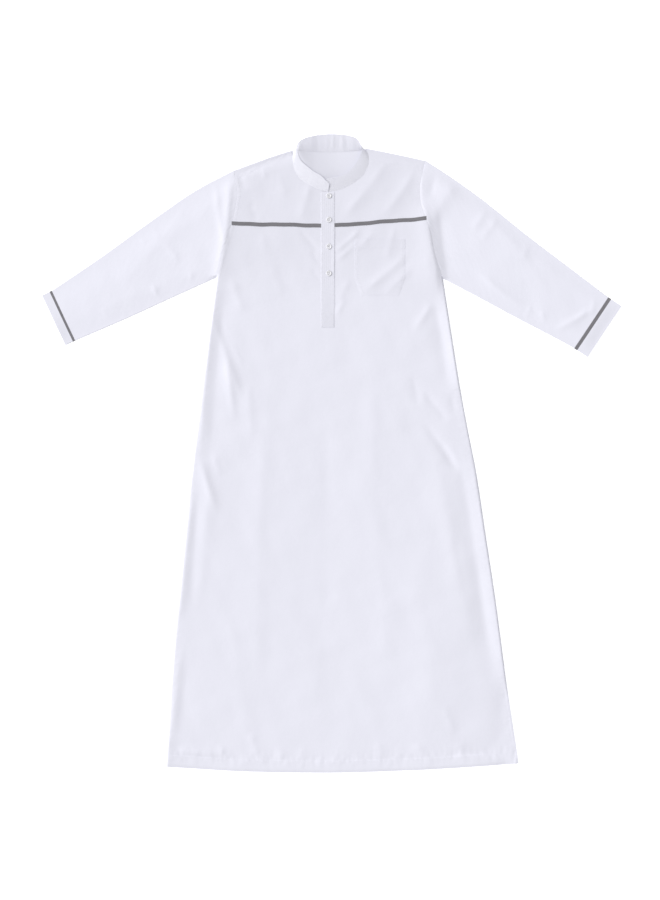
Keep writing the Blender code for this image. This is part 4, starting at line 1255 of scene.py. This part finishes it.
# Painted shade: the collar's cloth is a copy of the white cloth, a little deeper in tone all over.
collar_shaded_colour = [c * COLLAR_PAINTED_SHADE for c in CLOTH_COLOUR]
collar_cloth = cotton("collar cloth", collar_shaded_colour, crumple=0.12, see_through=0.25)
stands = smooth_path(COLLAR, np.linspace(0, 1, 170))
collar_walk = np.concatenate([[0], np.cumsum(np.linalg.norm(np.diff(stands[:, :3], axis=0), axis=1))])
in_front = 1 - ease((stands[:, 1] - 630) / 10)
front_face = front_z(stands[:, 0], stands[:, 1]) + CLOTH / 2
seated = front_face + COLLAR_SEAT + COLLAR_LAP * (1 - ease(collar_walk / 50))
on_yoke = neck_rise(stands[:, 0], stands[:, 1])
stands[:, 2] += in_front * (seated - stands[:, 2]) + (1 - in_front) * on_yoke
collar_up = np.linspace(-COLLAR_UNDER, 1, 15)
lean = stands[:, :2] - stands[:, 3:5]
bulge = np.concatenate([lean, (stands[:, 5:] - stands[:, 2:3]) * 0.7], axis=1)
bulge = bulge / np.linalg.norm(bulge, axis=1, keepdims=True) * COLLAR_BULGE
collar_places = (stands[:, None, :3] + (stands[:, None, 3:] - stands[:, None, :3]) * collar_up[None, :, None]
                 + bulge[:, None] * np.sin(pi * collar_up)[None, :, None])
along_collar = np.gradient(collar_places, axis=0)
up_collar = np.gradient(collar_places, axis=1)
collar_normal = np.cross(along_collar, up_collar)
collar_normal /= np.linalg.norm(collar_normal, axis=-1, keepdims=True)
behind = ease((collar_places[:, :1, 1] - 632) / 8)
rippled = sum(r.height * close_to(collar_places[:, :1, 0] - r.x, r.width) for r in COLLAR_RIPPLES)
ripple = rippled * behind * np.sin(pi * collar_up * 0.9)[None]
collar_places = collar_places + collar_normal * ripple[..., None]
collar_cut = np.stack(np.broadcast_arrays(collar_walk[:, None], collar_up[None] * COLLAR_HEIGHT), axis=-1)
# Painted light on the collar's left end, where it laps over the front and faces the light, and painted shade
# on its back left of the middle, where its left end shades it.
lap_painted_light = LAP_PAINTED_LIGHT * (1 - ease((collar_walk - 70) / 45))
in_shade = BESIDE_NECK_PAINTED_SHADE * ease((collar_walk - 125) / 20) * (1 - ease((collar_walk - 165) / 50))
collar = cloth_piece("collar_band", collar_places, collar_cut, collar_cloth, thick=COLLAR_THICK,
                     painted_light_and_shade=(lap_painted_light - in_shade)[:, None] * np.ones(len(collar_up)), round_off=0.3)
dress(collar, "collar")


def round_collar(values, share):
    """Values round the collar at a share of its height, from those at all its points."""
    return np.array([[np.interp(share, collar_up, column[:, axis]) for axis in range(3)]
                     for column in values])


# Rows of stitches: at a share of the collar's height, with points left off at each end
COLLAR_SEWN = ((0.09, 1), (0.90, 2))
collar_lines = []
for share, trim in COLLAR_SEWN:
    row = round_collar(collar_places, share)
    outward = round_collar(collar_normal, share)
    for face in (-1, 1):
        collar_lines.append((row + face * outward * (COLLAR_THICK / 2 + LAID_GAP))[trim:-trim])
sew("collar_stitching", collar_lines, thick=0.3, **CLOSE_STITCH)


# Placket
# Two strips of doubled cloth close the slit at the chest. The under strip carries the buttons, and
# the top strip covers it and is sewn down, with a boxed cross of stitches at its foot.
PLACKET_LEFT = -22.5
PLACKET_RIGHT = 6.8
PLACKET_LOW = 266.5
PLACKET_TOP = 558.0
BOX_TOP = 302.0
STRIP_THICK = 0.5
SLOT_CLEAR = 0.3
UNDER_DROP = 0.1
STITCH_LIFT = 0.05
COLLAR_FOOT = 551.0
RIBS_FROM = 340.0
STRIP_PRESSED = 0.26
STRIP_UNDER_COLLAR = 0.8
STRIP_PAINTED_SHADE = 0.22
BOX_PAINTED_SHADE = 0.1
RIB_SPACING = 4.3
RIB_HEIGHT = 0.035
EDGE_STITCH = 2.2
FOOT_STITCH = PLACKET_LOW + 2
HEAD_STITCH = PLACKET_TOP - 1

under_x = SLOT_LEFT + SLOT_CLEAR + (SLOT_RIGHT - SLOT_LEFT - 2 * SLOT_CLEAR) * np.linspace(0, 1, 9)
under_x, under_y = np.meshgrid(under_x, np.linspace(SLOT_LOW + SLOT_CLEAR, PLACKET_TOP, 60))
under_strip = cloth_piece(
    "placket_under_strip",
    np.stack([under_x, under_y, front_z(under_x, under_y) - UNDER_DROP], axis=-1),
    np.stack([under_x, under_y], axis=-1),
    white_cloth,
    thick=CLOTH,
)
dress(under_strip, "placket_under")

strip_x = np.concatenate([
    PLACKET_LEFT + np.array((0, 0.8, 1.6)),
    np.linspace(PLACKET_LEFT + 2.4, PLACKET_RIGHT - 2.4, 32),
    PLACKET_RIGHT - np.array((1.6, 0.8, 0)),
])
strip_heights = np.concatenate([
    np.linspace(PLACKET_LOW, BOX_TOP, 14),
    np.linspace(BOX_TOP, PLACKET_TOP, 96)[1:],
])
top_x, top_y = np.meshgrid(strip_x, strip_heights)
wobble = 0.35 * np.sin(top_y / 23) + 0.2 * np.sin(top_y / 9.3 + 1)
top_x = top_x + wobble * ease(top_x / 6) * 0.6


def strip_z(x, y):
    """Middle of the top strip: it lies on the front, its free edge stands a little off it."""
    free = ease((x + 2) / 9) * ease((y - BOX_TOP) / 12)
    lift = free * (0.22 + 0.2 * np.sin(y / 31 + 0.5) + 0.1 * np.sin(y / 12))
    from_edge = np.minimum(np.minimum(x - PLACKET_LEFT, PLACKET_RIGHT - x), y - PLACKET_LOW)
    pressed = STRIP_PRESSED * (1 - ease(from_edge / 3)) * (1 - 0.5 * free)
    pressed = pressed + STRIP_UNDER_COLLAR * ease((y - COLLAR_FOOT) / 5)
    ribs = RIB_HEIGHT * np.sin(2 * pi * x / RIB_SPACING) * ease((y - RIBS_FROM) / 20)
    return front_z(x, y) + CLOTH / 2 + STRIP_THICK / 2 + LAID_GAP + lift - pressed + ribs


top_strip = cloth_piece(
    "placket_top_strip",
    np.stack([top_x, top_y, strip_z(top_x, top_y)], axis=-1),
    np.stack([top_x, top_y], axis=-1),
    white_cloth,
    thick=STRIP_THICK,
    near_seam=close_to(np.minimum(top_x - PLACKET_LEFT, PLACKET_RIGHT - top_x), 5),
    # painted shade: the strip a little deeper in tone, and more so at its boxed foot
    painted_light_and_shade=-STRIP_PAINTED_SHADE - BOX_PAINTED_SHADE * (1 - ease((top_y - BOX_TOP) / 40)),
)
dress(top_strip, "placket_top")


def on_strip(places, lift=STITCH_LIFT):
    places = np.asarray(places, float)
    return np.column_stack([places, strip_z(places[:, 0], places[:, 1]) + STRIP_THICK / 2 + lift])


left_x = PLACKET_LEFT + EDGE_STITCH
right_x = PLACKET_RIGHT - EDGE_STITCH
placket_runs = (
    ((left_x, FOOT_STITCH), (left_x, HEAD_STITCH), 90),
    ((right_x, BOX_TOP), (right_x, HEAD_STITCH), 80),
    ((left_x, FOOT_STITCH), (right_x, FOOT_STITCH), 24),
    ((left_x, BOX_TOP), (right_x, BOX_TOP), 24),
    ((right_x, FOOT_STITCH), (right_x, BOX_TOP), 24),
    ((left_x, FOOT_STITCH), (right_x, BOX_TOP), 24),
    ((right_x, FOOT_STITCH), (left_x, BOX_TOP), 24),
)
placket_lines = [on_strip(np.linspace(start, end, count)) for start, end, count in placket_runs]
sew("placket_stitching", placket_lines, **CLOSE_STITCH)


# Buttonholes and buttons
# Four pearly plastic buttons with four holes each, sewn on with crossed threads. Each but the top one
# has an upright buttonhole, bound in close thread.
BUTTON_RADIUS = 5.8
BUTTON_THICK = 1.6
BUTTON_DISH = 0.66
BUTTON_X = -5.2
BUTTON_HEIGHTS = (546.0, 495.0, 438.5, 381.5)
BUTTON_TURNS = (8, 31, 52, 17)
HOLE_RADIUS = 0.85
HOLE_PLACE = 1.5
SLIT_LENGTH = 14.5
SLIT_BINDING = 0.55
BUTTON_GAP = 0.1
BUTTON_TILT = 1.5
THREAD_BESIDE = 0.22
THREAD_RISE = 0.12
PEARL_COLOUR = (0.74, 0.73, 0.74)

buttonhole_lines = []
for height in BUTTON_HEIGHTS[1:]:
    for beside in (-SLIT_BINDING, SLIT_BINDING):
        for y in np.arange(height - SLIT_LENGTH / 2, height + SLIT_LENGTH / 2, SLIT_BINDING):
            bar = ((BUTTON_X + beside - 0.5, y), (BUTTON_X + beside + 0.5, y))
            buttonhole_lines.append(on_strip(bar, LAID_GAP))
    for end in (-1, 1):
        y = height + end * SLIT_LENGTH / 2
        buttonhole_lines.append(on_strip(((BUTTON_X - 1.2, y), (BUTTON_X + 1.2, y)), 0.08))
sew("buttonhole_stitching", buttonhole_lines, length=1.3, spacing=1.0, thick=0.36)


def pearl(name, colour):
    """Pearly plastic: drifting pale bands under a clear polish."""
    look, shader = new_look(name, Coat_Roughness=0.12, IOR=1.53)
    tree = look.node_tree
    places = tree.nodes.new("ShaderNodeTexCoord")
    bands = tree.nodes.new("ShaderNodeTexNoise")
    bands.inputs["Scale"].default_value = 150
    bands.inputs["Detail"].default_value = 3
    bands.inputs["Distortion"].default_value = 1.6
    tree.links.new(places.outputs["Object"], bands.inputs["Vector"])
    ramp = tree.nodes.new("ShaderNodeValToRGB")
    dark, pale = ramp.color_ramp.elements
    dark.position = 0.35
    dark.color = (*[c * 0.90 for c in colour], 1)
    pale.position = 0.68
    pale.color = (*[min(1, c * more) for c, more in zip(colour, (1.12, 1.14, 1.2))], 1)
    tree.links.new(bands.outputs["Fac"], ramp.inputs["Fac"])
    tree.links.new(ramp.outputs["Color"], shader.inputs["Base Color"])
    rough_by(tree, shader, bands.outputs["Fac"], 0.2, 0.16)
    coat = shader_math(tree, "MULTIPLY_ADD", bands.outputs["Fac"], 0.3, 0.15)
    tree.links.new(coat, shader.inputs["Coat Weight"])
    return look


pearl_button = pearl("pearl button", PEARL_COLOUR)


def button_mesh():
    """A four-hole button with a raised rim and a dished middle, turned from its profile."""
    profile = ((0, BUTTON_DISH), (0.45, BUTTON_DISH), (0.60, 0.71), (0.70, 0.86), (0.78, 0.95),
               (0.85, 0.97), (0.93, 0.88), (1.0, 0.6), (0.985, 0.36), (0.92, 0.12), (0.8, 0.02),
               (0.6, 0), (0, 0))
    bm = bmesh.new()
    verts = [bm.verts.new((r * BUTTON_RADIUS * MM, 0, z * BUTTON_THICK * MM)) for r, z in profile]
    for a, b in zip(verts, verts[1:]):
        bm.edges.new((a, b))
    bmesh.ops.spin(bm, geom=bm.verts[:] + bm.edges[:], cent=(0, 0, 0), axis=(0, 0, 1), angle=2 * pi,
                   steps=48, use_duplicate=False)
    bmesh.ops.remove_doubles(bm, verts=bm.verts, dist=0.005 * MM)
    bmesh.ops.recalc_face_normals(bm, faces=bm.faces)
    mesh = bpy.data.meshes.new("button blank")
    bm.to_mesh(mesh)
    bm.free()
    blank = in_scene("button blank", mesh)
    drill_bm = bmesh.new()
    for dx, dy in ((1, 1), (-1, 1), (-1, -1), (1, -1)):
        place = Matrix.Translation(Vector((dx * HOLE_PLACE, dy * HOLE_PLACE, BUTTON_THICK / 2)) * MM)
        bmesh.ops.create_cone(drill_bm, cap_ends=True, segments=20, radius1=HOLE_RADIUS * MM,
                              radius2=HOLE_RADIUS * MM, depth=3 * BUTTON_THICK * MM, matrix=place)
    drill_mesh = bpy.data.meshes.new("drills")
    drill_bm.to_mesh(drill_mesh)
    drill_bm.free()
    drill = in_scene("drills", drill_mesh)
    holes = blank.modifiers.new("Holes", "BOOLEAN")
    holes.operation = "DIFFERENCE"
    holes.solver = "EXACT"
    holes.object = drill
    evaluated = blank.evaluated_get(bpy.context.evaluated_depsgraph_get())
    drilled = bpy.data.meshes.new_from_object(evaluated)
    for made in (blank, drill):
        bpy.data.objects.remove(made, do_unlink=True)
    drilled.set_sharp_from_angle(angle=radians(40))
    return drilled


blank_button = button_mesh()
for number, (height, turn) in enumerate(zip(BUTTON_HEIGHTS, BUTTON_TURNS), start=1):
    seat = float(strip_z(np.array(BUTTON_X), np.array(height))) + STRIP_THICK / 2 + BUTTON_GAP
    tilts = (BUTTON_TILT * sin(number), BUTTON_TILT * cos(2 * number), turn)
    tilt = Euler([radians(angle) for angle in tilts])
    placed = Matrix.Translation(Vector((BUTTON_X, height, seat)) * MM) @ tilt.to_matrix().to_4x4()
    mesh = blank_button.copy()
    mesh.transform(placed)
    mesh.materials.clear()
    mesh.materials.append(pearl_button)
    mesh.shade_smooth()
    mesh.set_sharp_from_angle(angle=radians(40))
    button = in_scene(f"pearl_button_{number}", mesh)
    dress(button, f"button_{number}")
    threads = []
    top = BUTTON_DISH * BUTTON_THICK + THREAD_RISE
    for ends in (((-1, -1), (1, 1)), ((-1, 1), (1, -1))):
        for beside in (-THREAD_BESIDE, THREAD_BESIDE):
            line = []
            for dx, dy in ends:
                place = Vector((dx * HOLE_PLACE + beside * dy * dx, dy * HOLE_PLACE - beside, top)) * MM
                line.append((placed @ place) / MM)
            threads.append(line)
    sew(f"button_thread_{number}", threads, length=4.6, spacing=4.6, thick=0.42)


# Tape on the chest
# Two lengths of the same grey tape, sewn flat on the front from the armholes to the placket.
TAPE = 8.0
CHEST_TAPE_THICK = 0.7
TAPE_CROWN = 0.12
TAPE_FACE = 0.38
TAPE_UNDER_PLACKET = 0.4
TapeLine = namedtuple("TapeLine", "at_armhole at_placket")
CHEST_TAPE = {"left": TapeLine(483, 479), "right": TapeLine(494, 479)}

chest_tape_lines = []
for side in ("left", "right"):
    line = CHEST_TAPE[side]
    inner = {"left": PLACKET_LEFT + TAPE_UNDER_PLACKET, "right": PLACKET_RIGHT - TAPE_UNDER_PLACKET}[side]
    outer = float(armhole_x(side, line.at_armhole + TAPE / 2))
    shares = np.linspace(0, 1, 90)
    x = inner + (outer - inner) * shares
    low = line.at_placket + (line.at_armhole - line.at_placket) * shares
    low = low + 0.5 * np.sin(x / 17 + 1) + 0.3 * np.sin(x / 7.3)
    across = np.array((0, 0.06, 0.35, 0.65, 0.94, 1.0))
    tape_x = np.broadcast_to(x[None], (len(across), len(x)))
    tape_y = low[None] + TAPE * across[:, None]
    crown = TAPE_CROWN * np.array((0, 0.8, 1, 1, 0.8, 0))[:, None]
    tape_z = front_z(tape_x, tape_y) + CLOTH / 2 + LAID_GAP + CHEST_TAPE_THICK / 2 + crown
    tape = cloth_piece(
        "chest_tape_cloth_" + side,
        np.stack([tape_x, tape_y, tape_z], axis=-1),
        np.stack([tape_x, tape_y - low[None]], axis=-1),
        grey_tape,
        thick=CHEST_TAPE_THICK,
    )
    dress(tape, "chest_tape_" + side)
    for row in (1, 4):
        sewn = np.stack([tape_x[row], tape_y[row], tape_z[row] + TAPE_FACE], axis=-1)
        chest_tape_lines.append(sewn[1:-1])
grey_thread = thread_look("grey thread", [c * 1.15 for c in TAPE_COLOUR])
tape_stitching = sew("chest_tape_stitching", chest_tape_lines, look=grey_thread)


# Chest pocket
# A patch of the same cloth with its lower corners cut steeply and its top turned in, sewn to the
# front by two rows of stitches at its sides and foot, and open at the top.
POCKET_LEFT = 49.0
POCKET_RIGHT = 156.5
POCKET_LOW = 334.0
POCKET_CORNER = 372.0
POCKET_TOP = 454.0
POCKET_CUT = 13.5
POCKET_HEM = 20.0
POCKET_THICK = 0.35
POCKET_FULL = 0.2
POCKET_MOUTH = 0.3
POCKET_TURNED = 0.12
POCKET_PRESSED = 0.24
POCKET_SEWN = (1.6, 6.4)

pocket_heights = np.concatenate([
    POCKET_LOW + np.array((0, 0.9, 2.2, 4)),
    np.linspace(POCKET_LOW + 8, POCKET_CORNER, 8),
    np.linspace(POCKET_CORNER, POCKET_TOP - POCKET_HEM - 2, 14)[1:],
    POCKET_TOP - POCKET_HEM + np.array((-0.6, 0.6)),
    POCKET_TOP - np.array((15, 10, 6, 3, 1, 0)),
])
pocket_shares = across_shares(34, POCKET_RIGHT - POCKET_LEFT, True, True, close=(0.9, 1.3, 2.0, 2.8, 3.4))
pocket_rows = []
for y in pocket_heights:
    cut = POCKET_CUT * max(0, (POCKET_CORNER - y) / (POCKET_CORNER - POCKET_LOW))
    left, right = POCKET_LEFT + cut, POCKET_RIGHT - cut
    x = left + (right - left) * pocket_shares
    pocket_rows.append(np.stack([x, np.full(len(x), y)], axis=-1))
pocket_plan = np.array(pocket_rows)
pocket_x, pocket_y = pocket_plan[..., 0], pocket_plan[..., 1]


def pocket_z(x, y):
    """Middle of the pocket's wall: slightly full inside its stitching, its mouth standing off."""
    inside = np.minimum(x - POCKET_LEFT, POCKET_RIGHT - x) / 30
    full = POCKET_FULL * ease(inside) * ease((y - POCKET_LOW) / 30)
    mouth = POCKET_MOUTH * ease(inside) * ease((y - POCKET_TOP + 25) / 25)
    turned = POCKET_TURNED * ease((y - POCKET_TOP + POCKET_HEM + 0.8) / 1.6)
    corner = POCKET_CUT * np.clip((POCKET_CORNER - y) / (POCKET_CORNER - POCKET_LOW), 0, 1)
    from_edge = np.minimum(np.minimum(x - POCKET_LEFT, POCKET_RIGHT - x) - corner, y - POCKET_LOW)
    pressed = POCKET_PRESSED * (1 - ease(from_edge / 4))
    return front_z(x, y) + CLOTH / 2 + POCKET_THICK / 2 + LAID_GAP + full + mouth + turned - pressed


pocket = cloth_piece(
    "pocket_patch",
    np.stack([pocket_x, pocket_y, pocket_z(pocket_x, pocket_y)], axis=-1),
    pocket_plan,
    white_cloth,
    thick=POCKET_THICK,
    near_seam=close_to(np.minimum(pocket_x - POCKET_LEFT, POCKET_RIGHT - pocket_x), 7),
    # painted shade: the chest's, a little deeper
    painted_light_and_shade=1.1 * chest_painted_shade(pocket_y) - 0.02,
    round_off=0.12,
)
dress(pocket, "chest_pocket")


def on_pocket(line):
    z = pocket_z(line[:, 0], line[:, 1]) + POCKET_THICK / 2 + STITCH_LIFT
    return np.column_stack([line, z])


pocket_lines = []
for gap in POCKET_SEWN:
    corner_gap = gap * 0.8
    outline = [
        (POCKET_LEFT + gap, POCKET_TOP - 1),
        (POCKET_LEFT + gap, POCKET_CORNER),
        (POCKET_LEFT + POCKET_CUT + corner_gap, POCKET_LOW + gap),
        (POCKET_RIGHT - POCKET_CUT - corner_gap, POCKET_LOW + gap),
        (POCKET_RIGHT - gap, POCKET_CORNER),
        (POCKET_RIGHT - gap, POCKET_TOP - 1),
    ]
    sides = [np.linspace(a, b, 24)[:-1] for a, b in zip(outline, outline[1:])]
    pocket_lines.append(on_pocket(np.concatenate(sides + [[outline[-1]]])))
hem_row = POCKET_TOP - POCKET_HEM + 2
pocket_lines.append(on_pocket(np.linspace((POCKET_LEFT + 2, hem_row), (POCKET_RIGHT - 2, hem_row), 40)))
sew("pocket_stitching", pocket_lines, thick=FINE_THREAD)
